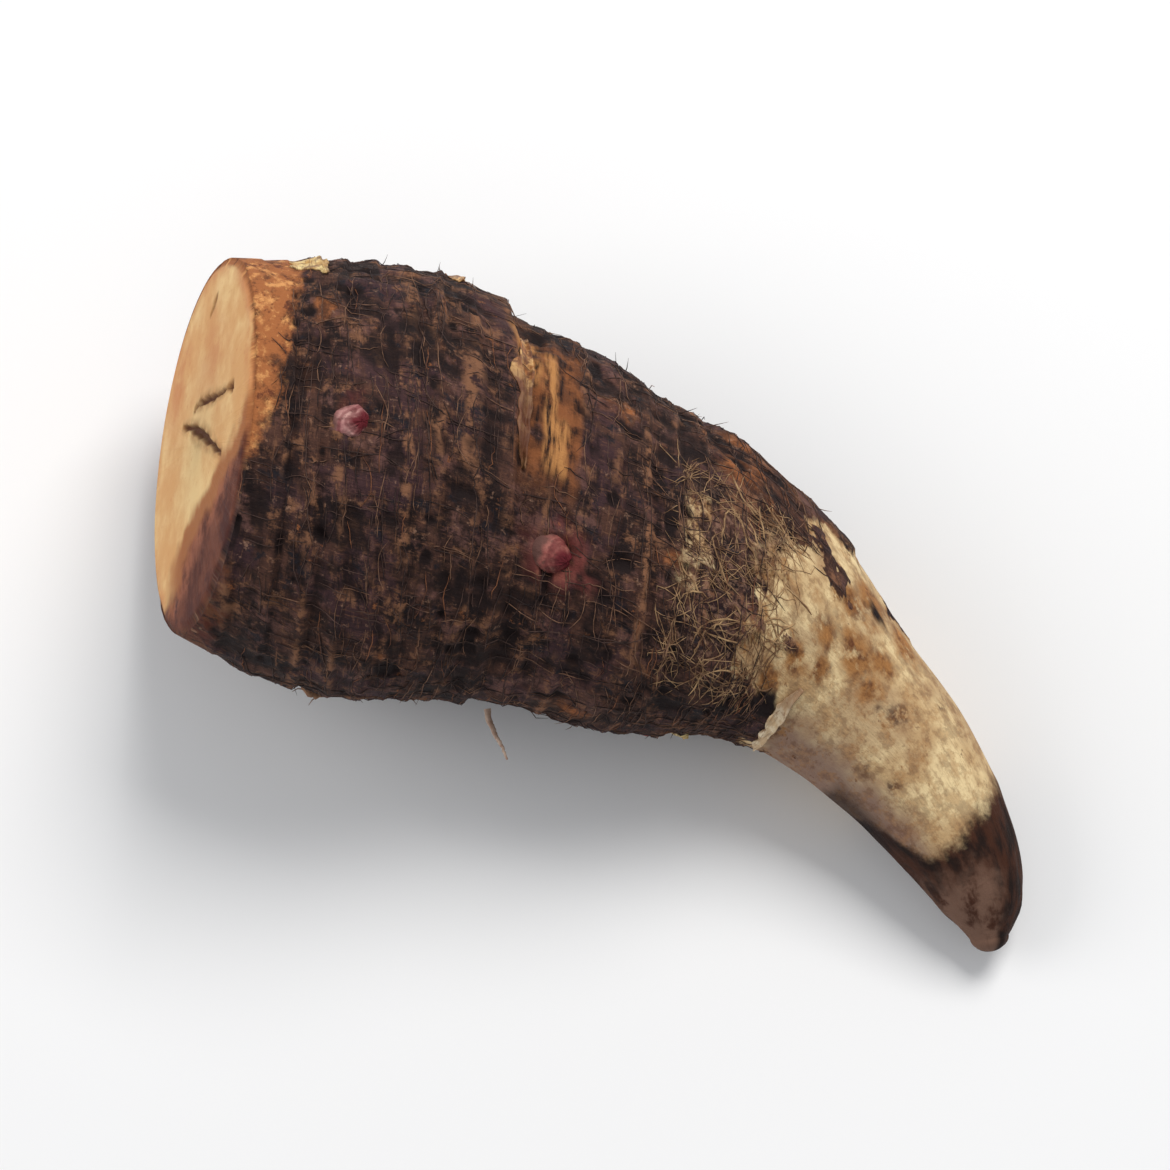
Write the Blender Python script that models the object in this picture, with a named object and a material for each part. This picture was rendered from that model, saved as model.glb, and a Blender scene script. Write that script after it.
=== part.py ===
"""A taro root as dug and trimmed: one swollen corm that narrows to a bent neck, lying on its belly.

Metres, +Z up. The corm is lofted ring by ring along a curved spine. It ends in a flat knife cut where
it grew on its parent, and it rests on a small flat of its belly and on the tip of its neck. Buds,
rootlets and scraps of old leaf sheath are pieces of their own, each held 0.3 mm or so off the corm.
"""

import math

import bmesh
import bpy
from mathutils import Vector, noise

MM = 0.001

# The spine, from the cut end to the tip of the neck: x, y and z of each station and its radius, in mm.
# What would lie below z = 0 is worn away, which leaves a small flat on the belly and one on the tip.
SPINE = (
    (-59.7, 19.8, 32.9, 24.3),
    (-52.2, 18.3, 31.7, 26.6),
    (-40.2, 15.8, 29.5, 29.4),
    (-28.2, 13.3, 28.0, 30.7),
    (-15.7, 10.3, 26.4, 28.5),
    (1.3, 4.3, 23.4, 24.2),
    (13.8, 0.3, 20.7, 22.0),
    (24.8, -4.7, 17.4, 17.5),
    (35.3, -13.2, 13.7, 13.1),
    (44.3, -22.2, 10.7, 11.0),
    (51.3, -32.2, 7.9, 8.8),
    (54.8, -40.2, 5.8, 6.3),
    (55.8, -45.4, 4.7, 3.0),
)
DEPTH_SHARE = 0.96  # a ring is this much lower than it is wide
AROUND = 48  # points in one ring
TIP_ROUNDING = 3  # rings that round off the tip
TIP_HEIGHT = 0.6  # the tip's dome stands this much of its radius high
TIP_LEFT_OPEN = 0.6  # share of a ring's step by which the dome stays open, for one last flat face
SHARP_ANGLE = 50  # degrees between faces at which an edge stays sharp

# The knife cut: a plane across the spine here, facing back along it and a little upwards.
CUT_AT = 7.6
CUT_FACING = (-0.94, 0.06, 0.34)

# Leaf scars ring the body. Each is a ledge that drops towards the neck.
FIRST_SCAR, LAST_SCAR, SCAR_PITCH = 13.0, 76.0, 4.5
SCAR_DROP = 0.45
WAIST_AT, WAIST_DROP = 48.5, 1.3
SHOULDER_AT, SHOULDER_DROP = 96.5, 0.8
BROAD_RISE = 3 * SCAR_PITCH  # the skin rises again over this length past the waist and the shoulder
LEDGE_WIDTH = 0.7
RING_WANDER = 0.7
WANDER_REACH = 4 * SCAR_PITCH  # rings this far apart wander in their own ways
WANDER_FINENESS = 1.7
RING_TILT = 6.0  # a ring on the body is this much nearer the cut on its +Y side than at its middle
TILT_FULL_AT, TILT_FADES_AT, TILT_GONE_AT = 26.0, 84.0, 116.0
LUMP_SIZE, LUMP_HEIGHT = 22.0, 1.1
LUMPS_FULL_AT = 20.0  # radius above which the lumps have their whole height
SECOND_RING = 4.0
NECK_PITCH = 3.6
CLOSEST_RINGS = 0.45

# Buds: distance along the spine, angle round it (0 is +Y at the belly, 90 is up), radius.
BUDS = (
    (27.8, 91.0, 2.7),
    (55.5, 109.0, 3.0),
    (45.0, 208.0, 2.6),
    (66.0, 338.0, 2.5),
    (31.0, 338.0, 2.8),
    (75.0, 196.0, 2.2),
)
BUD_STRETCH = 1.25
BUD_SUNK = 0.35
BALL_AROUND, BALL_UP = 12, 8  # faces round and up a bud or its socket

# Rootlets: distance and angle of the foot, how far each runs along and round, its rise, and its radius.
ROOTLETS = (
    (52.0, 190.0, 3.0, -2.0, 6.0, 0.45),
    (36.0, 236.0, 14.0, -8.0, 2.4, 0.60),
    (64.0, 238.0, -13.0, -12.0, 2.2, 0.50),
    (24.0, 214.0, 9.0, 8.0, 2.4, 0.55),
    (73.0, 310.0, -15.0, 7.0, 2.6, 0.60),
    (48.0, 322.0, 17.0, 26.0, 2.8, 0.65),
    (22.0, 346.0, 19.0, -16.0, 3.0, 0.55),
    (80.0, 300.0, 12.0, -22.0, 2.2, 0.45),
    (88.0, 236.0, -13.0, 16.0, 2.0, 0.40),
)
ROOTLET_POINTS = 9
ROOTLET_WAVE = 0.7  # how far a rootlet's loose end waves in and out
ROOTLET_BEND = 6.0  # how much of a wave it makes, in radians
ROOTLET_END = 0.55  # its loose end's share of its radius

# Sheath scraps: first and last distance along, first and last angle round.
SCRAPS = {
    "waist_sheath_scrap": (47.6, 50.0, 38.0, 88.0),
    "shoulder_sheath_scrap": (92.9, 95.3, 114.0, 178.0),
    "collar_skin_chip": (17.2, 23.5, 25.0, 41.0),
    "far_side_sheath_scrap": (39.0, 43.5, 344.0, 384.0),
    "near_side_sheath_scrap": (79.0, 82.5, 186.0, 222.0),
}
SCRAP_THICKNESS = 0.6
SCRAP_ACROSS = 3  # faces across a scrap
SCRAP_FACE_DEGREES = 6
SCRAP_FEWEST_FACES = 4
SCRAP_END = 0.06  # share of a scrap's length at each end that no longer narrows

GAP = 0.35  # clearance between a piece and the corm

FINISHES = {
    "husk": ((0.045, 0.026, 0.019), 0.85),
    "bud": ((0.42, 0.13, 0.13), 0.55),
    "rootlet": ((0.30, 0.15, 0.07), 0.75),
    "sheath": ((0.46, 0.27, 0.12), 0.7),
}


def clear_scene():
    """Removes whatever the file holds."""
    for thing in list(bpy.data.objects):
        bpy.data.objects.remove(thing)


def make_finish(name):
    """A plain Principled material of the named finish."""
    colour, roughness = FINISHES[name]
    material = bpy.data.materials.new(name)
    material.use_nodes = True
    shader = material.node_tree.nodes["Principled BSDF"]
    shader.inputs["Base Color"].default_value = (*colour, 1.0)
    shader.inputs["Roughness"].default_value = roughness
    shader.inputs["Metallic"].default_value = 0.0
    return material


def make_object(name, data, material=None):
    """Links a new object that holds data."""
    made = bpy.data.objects.new(name, data)
    bpy.context.scene.collection.objects.link(made)
    if material:
        data.materials.append(material)
    return made


def mesh_from(bm, name):
    """The finished mesh of bm, shaded smooth but for its sharp edges."""
    bmesh.ops.recalc_face_normals(bm, faces=bm.faces)
    mesh = bpy.data.meshes.new(name)
    bm.to_mesh(mesh)
    bm.free()
    mesh.shade_smooth()
    mesh.set_sharp_from_angle(angle=math.radians(SHARP_ANGLE))
    return mesh


def catmull_rom(values, share):
    """A smooth value at share, counted in stations, of a list of vectors."""
    first = min(max(int(math.floor(share)), 0), len(values) - 2)
    t = share - first
    before, a = values[max(first - 1, 0)], values[first]
    b, after = values[first + 1], values[min(first + 2, len(values) - 1)]
    bend = 2 * before - 5 * a + 4 * b - after
    twist = 3 * a - before - 3 * b + after
    return (2 * a + (b - before) * t + bend * t * t + twist * t * t * t) / 2


class Spine:
    """The curve that the corm grew along, measured in mm from its first station."""

    def __init__(self):
        self.stations = [Vector(row) for row in SPINE]
        self.at = [0.0]
        for a, b in zip(self.stations, self.stations[1:]):
            self.at.append(self.at[-1] + (b.to_3d() - a.to_3d()).length)
        self.length = self.at[-1]

    def sample(self, along):
        """Point (a 3D vector) and radius at a distance along."""
        along = min(max(along, 0.0), self.length)
        k = max(i for i in range(len(self.at) - 1) if self.at[i] <= along)
        share = k + (along - self.at[k]) / (self.at[k + 1] - self.at[k])
        found = catmull_rom(self.stations, share)
        return found.to_3d(), found[3]

    def frame(self, along):
        """Tangent, sideways and upward directions at a distance along."""
        step = 1.0
        ahead = self.sample(along + step)[0]
        behind = self.sample(along - step)[0]
        tangent = (ahead - behind).normalized()
        side = Vector((0, 0, 1)).cross(tangent).normalized()
        return tangent, side, tangent.cross(side)


spine = Spine()


def ledge(along, edge, drop, pitch):
    """How far the surface is sunk by one ring: drop just past its edge, rising again over pitch."""
    past = along - edge
    if past <= 0 or past >= pitch:
        return 0.0
    if past < LEDGE_WIDTH:
        return drop * past / LEDGE_WIDTH
    return drop * (pitch - past) / (pitch - LEDGE_WIDTH)


def scar_edges():
    """Where the ledges are, with each one's drop and the run over which it rises again."""
    count = round((LAST_SCAR - FIRST_SCAR) / SCAR_PITCH)
    edges = [(FIRST_SCAR + k * SCAR_PITCH, SCAR_DROP, SCAR_PITCH) for k in range(count + 1)]
    edges.append((WAIST_AT, WAIST_DROP, BROAD_RISE))
    edges.append((SHOULDER_AT, SHOULDER_DROP, BROAD_RISE))
    return sorted(edges)


EDGES = scar_edges()


def ease(share):
    """0 below 0, 1 above 1 and smooth between."""
    held = min(max(share, 0.0), 1.0)
    return held * held * (3 - 2 * held)


def wander(angle, along):
    """How far a ring strays along the spine at an angle: its tilt, and a little unevenness."""
    round_it = Vector((math.cos(angle), math.sin(angle), along / WANDER_REACH))
    fading = 1 - ease((along - TILT_FADES_AT) / (TILT_GONE_AT - TILT_FADES_AT))
    tilt = RING_TILT * ease(along / TILT_FULL_AT) * fading
    return RING_WANDER * noise.noise(round_it * WANDER_FINENESS) - tilt * math.cos(angle)


def surface(along, angle, lift=0.0, relief=True):
    """A point on the corm in metres. Without relief it is on the envelope, which the skin never passes."""
    shifted = along + wander(angle, along)
    centre, radius = spine.sample(shifted)
    _, side, up = spine.frame(shifted)
    outward = side * math.cos(angle) + up * (math.sin(angle) * DEPTH_SHARE)
    if relief:
        spot = centre + outward * radius
        lump = 0.5 + 0.5 * noise.noise(spot / LUMP_SIZE)
        radius -= LUMP_HEIGHT * lump * min(1.0, radius / LUMPS_FULL_AT)
        radius -= sum(ledge(along, edge, drop, pitch) for edge, drop, pitch in EDGES)
    return (centre + outward * radius + outward.normalized() * lift) * MM


def outward_at(along, angle):
    """The outward unit direction of the skin."""
    step = 0.02
    here = surface(along, angle, relief=False)
    forward = surface(along + 0.5, angle, relief=False) - here
    turning = surface(along, angle + step, relief=False) - here
    return turning.cross(forward).normalized()


def ring_stations():
    """Distances of the rings: two at each ledge and its foot, and even steps on the smooth neck."""
    found = [0.0, SECOND_RING]
    for edge, _, _ in EDGES:
        found += [edge, edge + LEDGE_WIDTH]
    last_ledge = LAST_SCAR + LEDGE_WIDTH
    steps = int((spine.length - last_ledge) / NECK_PITCH)
    found += [last_ledge + NECK_PITCH * (k + 1) for k in range(steps)]
    spread = [found[0]]
    for along in sorted(found):
        if along - spread[-1] > CLOSEST_RINGS:
            spread.append(along)
    return spread


def cut_off(bm, point, normal):
    """Cuts away what lies on the normal's side of a plane and closes the body with flat faces."""
    everything = bm.verts[:] + bm.edges[:] + bm.faces[:]
    cut = bmesh.ops.bisect_plane(
        bm, geom=everything, plane_co=point, plane_no=normal, clear_outer=True, dist=1e-7
    )
    rim = [item for item in cut["geom_cut"] if isinstance(item, bmesh.types.BMEdge)]
    bmesh.ops.holes_fill(bm, edges=rim, sides=0)


def loft_corm():
    """The corm's body before its sockets: rings along the spine, a round tip, a cut face and flats."""
    bm = bmesh.new()
    angles = [2 * math.pi * k / AROUND for k in range(AROUND)]
    stations = ring_stations()
    ring = bmesh.ops.create_circle(bm, segments=AROUND, radius=1.0)["verts"]
    for vert, angle in zip(ring, angles):
        vert.co = surface(stations[0], angle)
    edges = bm.edges[:]
    for along in stations[1:]:
        grown = bmesh.ops.extrude_edge_only(bm, edges=edges)["geom"]
        ring = [item for item in grown if isinstance(item, bmesh.types.BMVert)]
        edges = [item for item in grown if isinstance(item, bmesh.types.BMEdge) and item.is_boundary]
        for vert, angle in zip(ring, angles):
            vert.co = surface(along, angle)
    round_off(bm, edges, ring)
    bmesh.ops.holes_fill(bm, edges=[edge for edge in bm.edges if edge.is_boundary], sides=0)
    bmesh.ops.recalc_face_normals(bm, faces=bm.faces)
    cut_off(bm, spine.sample(CUT_AT)[0] * MM, Vector(CUT_FACING).normalized())
    cut_off(bm, Vector(), Vector((0, 0, -1)))
    return bm


def round_off(bm, edges, ring):
    """Closes the neck's end with a low dome of shrinking rings."""
    middle = sum((vert.co for vert in ring), Vector()) / len(ring)
    ahead = spine.frame(spine.length)[0]
    start = [vert.co - middle for vert in ring]
    height = TIP_HEIGHT * sum(offset.length for offset in start) / len(start)
    for k in range(1, TIP_ROUNDING + 1):
        bend = math.pi / 2 * k / (TIP_ROUNDING + TIP_LEFT_OPEN)
        grown = bmesh.ops.extrude_edge_only(bm, edges=edges)["geom"]
        ring = [item for item in grown if isinstance(item, bmesh.types.BMVert)]
        edges = [item for item in grown if isinstance(item, bmesh.types.BMEdge) and item.is_boundary]
        for vert, offset in zip(ring, start):
            vert.co = middle + offset * math.cos(bend) + ahead * (height * math.sin(bend))


def bud_centre(along, angle, radius):
    """The middle of a bud, sunk a share of its radius into the skin."""
    inward = -outward_at(along, math.radians(angle))
    return surface(along, math.radians(angle)) + inward * (BUD_SUNK * radius * MM)


def add_ball(bm, centre, axis, radius, stretch):
    """Adds an egg of that radius in mm, stretched along its axis."""
    ball = bmesh.ops.create_uvsphere(bm, u_segments=BALL_AROUND, v_segments=BALL_UP, radius=radius * MM)
    made = ball["verts"]
    turn = Vector((0, 0, 1)).rotation_difference(axis).to_matrix()
    bmesh.ops.scale(bm, vec=Vector((1, 1, stretch)), verts=made)
    bmesh.ops.rotate(bm, cent=Vector(), matrix=turn, verts=made)
    bmesh.ops.translate(bm, vec=centre, verts=made)


def make_bud(number, along, angle, radius):
    """One side bud, standing in its socket."""
    bm = bmesh.new()
    axis = outward_at(along, math.radians(angle))
    add_ball(bm, bud_centre(along, angle, radius), axis, radius, BUD_STRETCH)
    return make_object(f"bud_{number}", mesh_from(bm, "bud"), FINISH["bud"])


def rootlet_path(along, angle, run, turn, rise, radius):
    """Points of a rootlet that leaves the skin steeply, then bends over and runs beside it."""
    foot = surface(along, math.radians(angle))
    outward = outward_at(along, math.radians(angle))
    path = [foot - outward * (GAP * MM)]
    for k in range(1, ROOTLET_POINTS):
        share = k / (ROOTLET_POINTS - 1)
        lift = rise * (1 - (1 - share) ** 3) + ROOTLET_WAVE * share * math.sin(ROOTLET_BEND * share)
        eased = share * share
        point = surface(along + run * eased, math.radians(angle + turn * eased), lift, relief=False)
        point.z = max(point.z, (radius + GAP) * MM)
        path.append(point)
    return path


def make_rootlet(number, along, angle, run, turn, rise, radius):
    """One wiry rootlet: a tube along its path."""
    curve = bpy.data.curves.new("rootlet", "CURVE")
    curve.dimensions = "3D"
    curve.bevel_depth = radius * MM
    curve.bevel_resolution = 1
    curve.use_fill_caps = True
    path = rootlet_path(along, angle, run, turn, rise, radius)
    line = curve.splines.new("POLY")
    line.points.add(len(path) - 1)
    for point, place in zip(line.points, path):
        point.co = (*place, 1.0)
    line.points[-1].radius = ROOTLET_END
    return make_object(f"rootlet_{number}", curve, FINISH["rootlet"])


def make_scrap(name, start, end, first, last):
    """A curved flake of old sheath that follows the skin."""
    bm = bmesh.new()
    count = max(SCRAP_FEWEST_FACES, int((last - first) / SCRAP_FACE_DEGREES))
    bmesh.ops.create_grid(bm, x_segments=SCRAP_ACROSS, y_segments=count, size=1.0)
    for vert in bm.verts:
        u, v = (vert.co.x + 1) / 2, (vert.co.y + 1) / 2
        taper = math.sin(math.pi * min(max(v, SCRAP_END), 1 - SCRAP_END))
        along = end - (end - start) * (1 - u) * taper
        vert.co = surface(along, math.radians(first + (last - first) * v), GAP, relief=False)
    middle = math.radians((first + last) / 2)
    bmesh.ops.recalc_face_normals(bm, faces=bm.faces)
    bm.faces.ensure_lookup_table()
    if bm.faces[0].normal.dot(outward_at((start + end) / 2, middle)) < 0:
        bmesh.ops.reverse_faces(bm, faces=bm.faces)
    bmesh.ops.solidify(bm, geom=bm.faces[:], thickness=-SCRAP_THICKNESS * MM)
    return make_object(name, mesh_from(bm, name), FINISH["sheath"])


def make_sockets():
    """The hidden cutter: a hollow for each bud and a pit for each rootlet's foot."""
    bm = bmesh.new()
    for along, angle, radius in BUDS:
        axis = outward_at(along, math.radians(angle))
        add_ball(bm, bud_centre(along, angle, radius), axis, radius + GAP, BUD_STRETCH)
    for along, angle, _, _, _, radius in ROOTLETS:
        axis = outward_at(along, math.radians(angle))
        foot = surface(along, math.radians(angle)) - axis * (GAP * MM)
        add_ball(bm, foot, axis, radius + 2 * GAP, 1.0)
    cutter = make_object("socket_cutter", mesh_from(bm, "sockets"))
    cutter.hide_render = True
    cutter.display_type = "WIRE"
    return cutter


def make_corm():
    """The corm with its sockets cut."""
    corm = make_object("corm", mesh_from(loft_corm(), "corm"), FINISH["husk"])
    cut = corm.modifiers.new("sockets", "BOOLEAN")
    cut.operation = "DIFFERENCE"
    cut.solver = "EXACT"
    cut.object = make_sockets()
    return corm


def centre_over_origin():
    """Moves everything sideways so that the middle of the whole root is over the origin."""
    bpy.context.view_layer.update()
    graph = bpy.context.evaluated_depsgraph_get()
    corners = []
    shown = [thing for thing in bpy.data.objects if not thing.hide_render]
    for thing in shown:
        solid = thing.evaluated_get(graph)
        mesh = solid.to_mesh()
        corners += [vert.co.copy() for vert in mesh.vertices]
        solid.to_mesh_clear()
    low = Vector([min(corner[k] for corner in corners) for k in range(2)])
    high = Vector([max(corner[k] for corner in corners) for k in range(2)])
    shift = Vector((-(low.x + high.x) / 2, -(low.y + high.y) / 2, 0.0))
    for thing in bpy.data.objects:
        thing.location = shift


clear_scene()
FINISH = {name: make_finish(name) for name in FINISHES}
make_corm()
for number, bud in enumerate(BUDS, 1):
    make_bud(number, *bud)
for number, rootlet in enumerate(ROOTLETS, 1):
    make_rootlet(number, *rootlet)
for scrap_name, reach in SCRAPS.items():
    make_scrap(scrap_name, *reach)
centre_over_origin()
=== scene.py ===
"""The finished look of a taro root: its husk, cut face, neck, buds, rootlets, old sheath and fibres.

The root is described on its own skin. A place on it is a distance along the spine and an angle round it,
in millimetres and radians, with 0 towards +Y and a quarter turn up. Rings of leaf scars keep one distance.
"""

from __future__ import annotations

import logging
import math
from dataclasses import dataclass, field
from enum import Enum

import bmesh
import bpy
import numpy as np
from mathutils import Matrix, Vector, noise


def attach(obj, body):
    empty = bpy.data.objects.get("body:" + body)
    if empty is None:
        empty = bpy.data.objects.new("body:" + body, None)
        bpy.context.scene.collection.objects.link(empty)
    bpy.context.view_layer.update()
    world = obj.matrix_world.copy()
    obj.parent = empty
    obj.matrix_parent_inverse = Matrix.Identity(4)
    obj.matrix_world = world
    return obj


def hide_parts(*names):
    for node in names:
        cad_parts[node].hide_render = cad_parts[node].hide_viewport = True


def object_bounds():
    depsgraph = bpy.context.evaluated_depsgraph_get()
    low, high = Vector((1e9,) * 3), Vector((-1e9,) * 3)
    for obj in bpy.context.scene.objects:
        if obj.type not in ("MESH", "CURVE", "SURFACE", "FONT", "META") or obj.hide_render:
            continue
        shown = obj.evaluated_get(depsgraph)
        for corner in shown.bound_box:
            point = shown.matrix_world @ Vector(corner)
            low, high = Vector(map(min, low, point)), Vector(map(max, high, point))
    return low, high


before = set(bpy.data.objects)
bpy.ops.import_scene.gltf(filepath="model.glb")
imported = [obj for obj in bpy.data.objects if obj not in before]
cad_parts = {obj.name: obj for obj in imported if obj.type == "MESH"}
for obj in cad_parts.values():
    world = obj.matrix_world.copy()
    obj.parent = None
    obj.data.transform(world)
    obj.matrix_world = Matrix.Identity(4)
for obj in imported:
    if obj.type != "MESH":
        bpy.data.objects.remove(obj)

MM = 0.001
TURN = 2 * math.pi
CAD_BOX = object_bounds()

log = logging.getLogger("taro_root")

Rows = tuple[tuple[float, ...], ...]


# ---------------------------------------------------------------------------------------------------------
# Shared arithmetic
# ---------------------------------------------------------------------------------------------------------


def ease(share: np.ndarray | float) -> np.ndarray:
    """0 below 0, 1 above 1 and smooth between."""
    held = np.clip(share, 0.0, 1.0)
    return held * held * (3 - 2 * held)


def step(value: np.ndarray, start: float | np.ndarray, end: float | np.ndarray) -> np.ndarray:
    """Rises smoothly from 0 at start to 1 at end, or falls if end is below start."""
    return ease((value - start) / (end - start))


def window(value: np.ndarray, start: float, end: float, soft: float) -> np.ndarray:
    """1 between start and end, falling to 0 over soft outside them."""
    return step(value, start - soft, start) * step(value, end + soft, end)


def angle_gap(angle: np.ndarray, centre: float) -> np.ndarray:
    """How far, in degrees, an angle in radians is from a centre in degrees."""
    return np.abs((np.degrees(angle) - centre + 180) % 360 - 180)


def round_profile(angle: np.ndarray, outline: Rows) -> np.ndarray:
    """A value that goes round the root, from (degrees, value) pairs.

    Args:
        angle: angles in radians.
        outline: the pairs, in order of angle.

    Returns:
        The value at each angle.
    """
    degrees = [pair[0] for pair in outline]
    values = [pair[1] for pair in outline]
    return np.interp(np.degrees(angle) % 360, degrees, values, period=360)


def mix(a: np.ndarray | float, b: np.ndarray | float, share: np.ndarray) -> np.ndarray:
    """a where share is 0 and b where it is 1."""
    return a + (b - a) * share


class Grain:
    """Smooth random roughness, the same on each run, read from a repeating block of numbers."""

    CELLS = 32

    def __init__(self, seed: int) -> None:
        """Fills the block."""
        cells = self.CELLS
        self.block = np.random.default_rng(seed).uniform(-1, 1, (cells, cells, cells))

    def at(self, points: np.ndarray, size: float | tuple[float, float, float]) -> np.ndarray:
        """Roughness between about -1 and 1.

        Args:
            points: places, one row each, in mm.
            size: how big its lumps are, in mm, one for all directions or one for each.

        Returns:
            One number for each place.
        """
        scaled = points / np.asarray(size)
        low = np.floor(scaled).astype(int)
        share = ease(scaled - low)
        total = np.zeros(len(points))
        for corner in np.ndindex(2, 2, 2):
            cell = (low + corner) % self.CELLS
            weight = np.prod(np.where(np.asarray(corner) == 1, share, 1 - share), axis=1)
            total += weight * self.block[cell[:, 0], cell[:, 1], cell[:, 2]]
        return total

    def layers(self, points: np.ndarray, size: float, count: int = 3) -> np.ndarray:
        """Roughness made of lumps of size, half the size and so on, each half as strong."""
        return sum(self.at(points + 17.3 * k, size / 2**k) / 2**k for k in range(count)) / 1.6


# ---------------------------------------------------------------------------------------------------------
# The stem: the shape that the CAD solids follow
# ---------------------------------------------------------------------------------------------------------


@dataclass
class Stem:
    """The corm's swollen stem, as a curved spine with a radius, in the row frame."""

    stations: Rows = (
        (-59.7, 19.8, 32.9, 24.3),
        (-52.2, 18.3, 31.7, 26.6),
        (-40.2, 15.8, 29.5, 29.4),
        (-28.2, 13.3, 28.0, 30.7),
        (-15.7, 10.3, 26.4, 28.5),
        (1.3, 4.3, 23.4, 24.2),
        (13.8, 0.3, 20.7, 22.0),
        (24.8, -4.7, 17.4, 17.5),
        (35.3, -13.2, 13.7, 13.1),
        (44.3, -22.2, 10.7, 11.0),
        (51.3, -32.2, 7.9, 8.8),
        (54.8, -40.2, 5.8, 6.3),
        (55.8, -45.4, 4.7, 3.0),
    )
    depth_share: float = 0.96
    cut_at: float = 7.6
    cut_facing: tuple[float, float, float] = (-0.94, 0.06, 0.34)
    first_scar: float = 13.0
    last_scar: float = 76.0
    scar_pitch: float = 4.5
    scar_drop: float = 0.45
    waist_at: float = 48.5
    waist_drop: float = 1.3
    shoulder_at: float = 96.5
    shoulder_drop: float = 0.8
    ledge_width: float = 0.7
    ring_wander: float = 0.7
    ring_tilt: float = 6.0
    tilt_full_at: float = 26.0
    tilt_fades_at: float = 84.0
    tilt_gone_at: float = 116.0
    lump_size: float = 22.0
    lump_height: float = 1.1
    table_step: float = 0.1

    def __post_init__(self) -> None:
        """Works out the spine once, at small steps."""
        rows = np.array(self.stations)
        gaps = np.linalg.norm(np.diff(rows[:, :3], axis=0), axis=1)
        self.at = np.concatenate([[0.0], np.cumsum(gaps)])
        self.length = float(self.at[-1])
        self.steps = np.arange(0.0, self.length + self.table_step, self.table_step)
        self.table = self.curve(rows, np.clip(self.steps, 0, self.length))
        ahead = np.gradient(self.table[:, :3], axis=0)
        self.tangents = ahead / np.linalg.norm(ahead, axis=1)[:, None]
        self.facing = np.array(self.cut_facing) / np.linalg.norm(self.cut_facing)

    def curve(self, rows: np.ndarray, along: np.ndarray) -> np.ndarray:
        """The smooth curve through the stations: x, y, z and radius at each distance."""
        last = len(rows) - 1
        first = np.clip(np.searchsorted(self.at, along, side="right") - 1, 0, last - 1)
        t = ((along - self.at[first]) / (self.at[first + 1] - self.at[first]))[:, None]
        before, a = rows[np.maximum(first - 1, 0)], rows[first]
        b, after = rows[first + 1], rows[np.minimum(first + 2, last)]
        bend = 2 * before - 5 * a + 4 * b - after
        twist = 3 * a - before - 3 * b + after
        return (2 * a + (b - before) * t + bend * t**2 + twist * t**3) / 2

    def sample(self, along: np.ndarray) -> tuple[np.ndarray, np.ndarray]:
        """The spine's point and radius at each distance."""
        held = np.clip(along, 0, self.length)
        found = [np.interp(held, self.steps, self.table[:, k]) for k in range(4)]
        return np.stack(found[:3], axis=1), found[3]

    def frame(self, along: np.ndarray) -> tuple[np.ndarray, np.ndarray, np.ndarray]:
        """Tangent, sideways and upward directions at each distance."""
        held = np.clip(along, 0, self.length)
        tangent = np.stack([np.interp(held, self.steps, self.tangents[:, k]) for k in range(3)], axis=1)
        tangent /= np.linalg.norm(tangent, axis=1)[:, None]
        side = np.cross(np.array([0.0, 0.0, 1.0]), tangent)
        side /= np.linalg.norm(side, axis=1)[:, None]
        return tangent, side, np.cross(tangent, side)

    def wander(self, along: np.ndarray, angle: np.ndarray) -> np.ndarray:
        """How far a ring strays along the spine: its tilt, and a little unevenness."""
        reach = 4 * self.scar_pitch
        spots = np.stack([np.cos(angle), np.sin(angle), along / reach], axis=1) * 1.7
        stray = np.array([noise.noise(Vector(spot)) for spot in spots])
        fading = 1 - step(along, self.tilt_fades_at, self.tilt_gone_at)
        tilt = self.ring_tilt * ease(along / self.tilt_full_at) * fading
        return self.ring_wander * stray - tilt * np.cos(angle)

    def envelope(self, along: np.ndarray, angle: np.ndarray) -> tuple[np.ndarray, ...]:
        """The middle, the outward direction (not of unit length) and the radius at each place."""
        shifted = along + self.wander(along, angle)
        centre, radius = self.sample(shifted)
        _, side, up = self.frame(shifted)
        outward = side * np.cos(angle)[:, None] + up * (np.sin(angle) * self.depth_share)[:, None]
        return centre, outward, radius

    def lump(self, spots: np.ndarray, radius: np.ndarray) -> np.ndarray:
        """How far broad hollows sink the skin below the envelope."""
        waves = np.array([noise.noise(Vector(spot)) for spot in spots / self.lump_size])
        return self.lump_height * (0.5 + 0.5 * waves) * np.minimum(1.0, radius / 20.0)

    def edges(self) -> Rows:
        """Each ledge: where it is, its drop, and the run over which the skin rises again."""
        count = round((self.last_scar - self.first_scar) / self.scar_pitch)
        scars = [
            (self.first_scar + k * self.scar_pitch, self.scar_drop, self.scar_pitch)
            for k in range(count + 1)
        ]
        broad = 3 * self.scar_pitch
        scars.append((self.waist_at, self.waist_drop, broad))
        scars.append((self.shoulder_at, self.shoulder_drop, broad))
        return tuple(sorted(scars))

    def cut_start(self, angle: np.ndarray) -> np.ndarray:
        """How far along the knife cut meets the skin at each angle."""
        middle = self.sample(np.array([self.cut_at]))[0][0]
        low, high = np.zeros_like(angle), np.full_like(angle, 40.0)
        for _ in range(18):
            half = (low + high) / 2
            centre, outward, radius = self.envelope(half, angle)
            beyond = (centre + outward * radius[:, None] - middle) @ self.facing > 0
            low = np.where(beyond, half, low)
            high = np.where(beyond, high, half)
        return (low + high) / 2


# ---------------------------------------------------------------------------------------------------------
# The skin: relief and zones
# ---------------------------------------------------------------------------------------------------------


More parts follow.
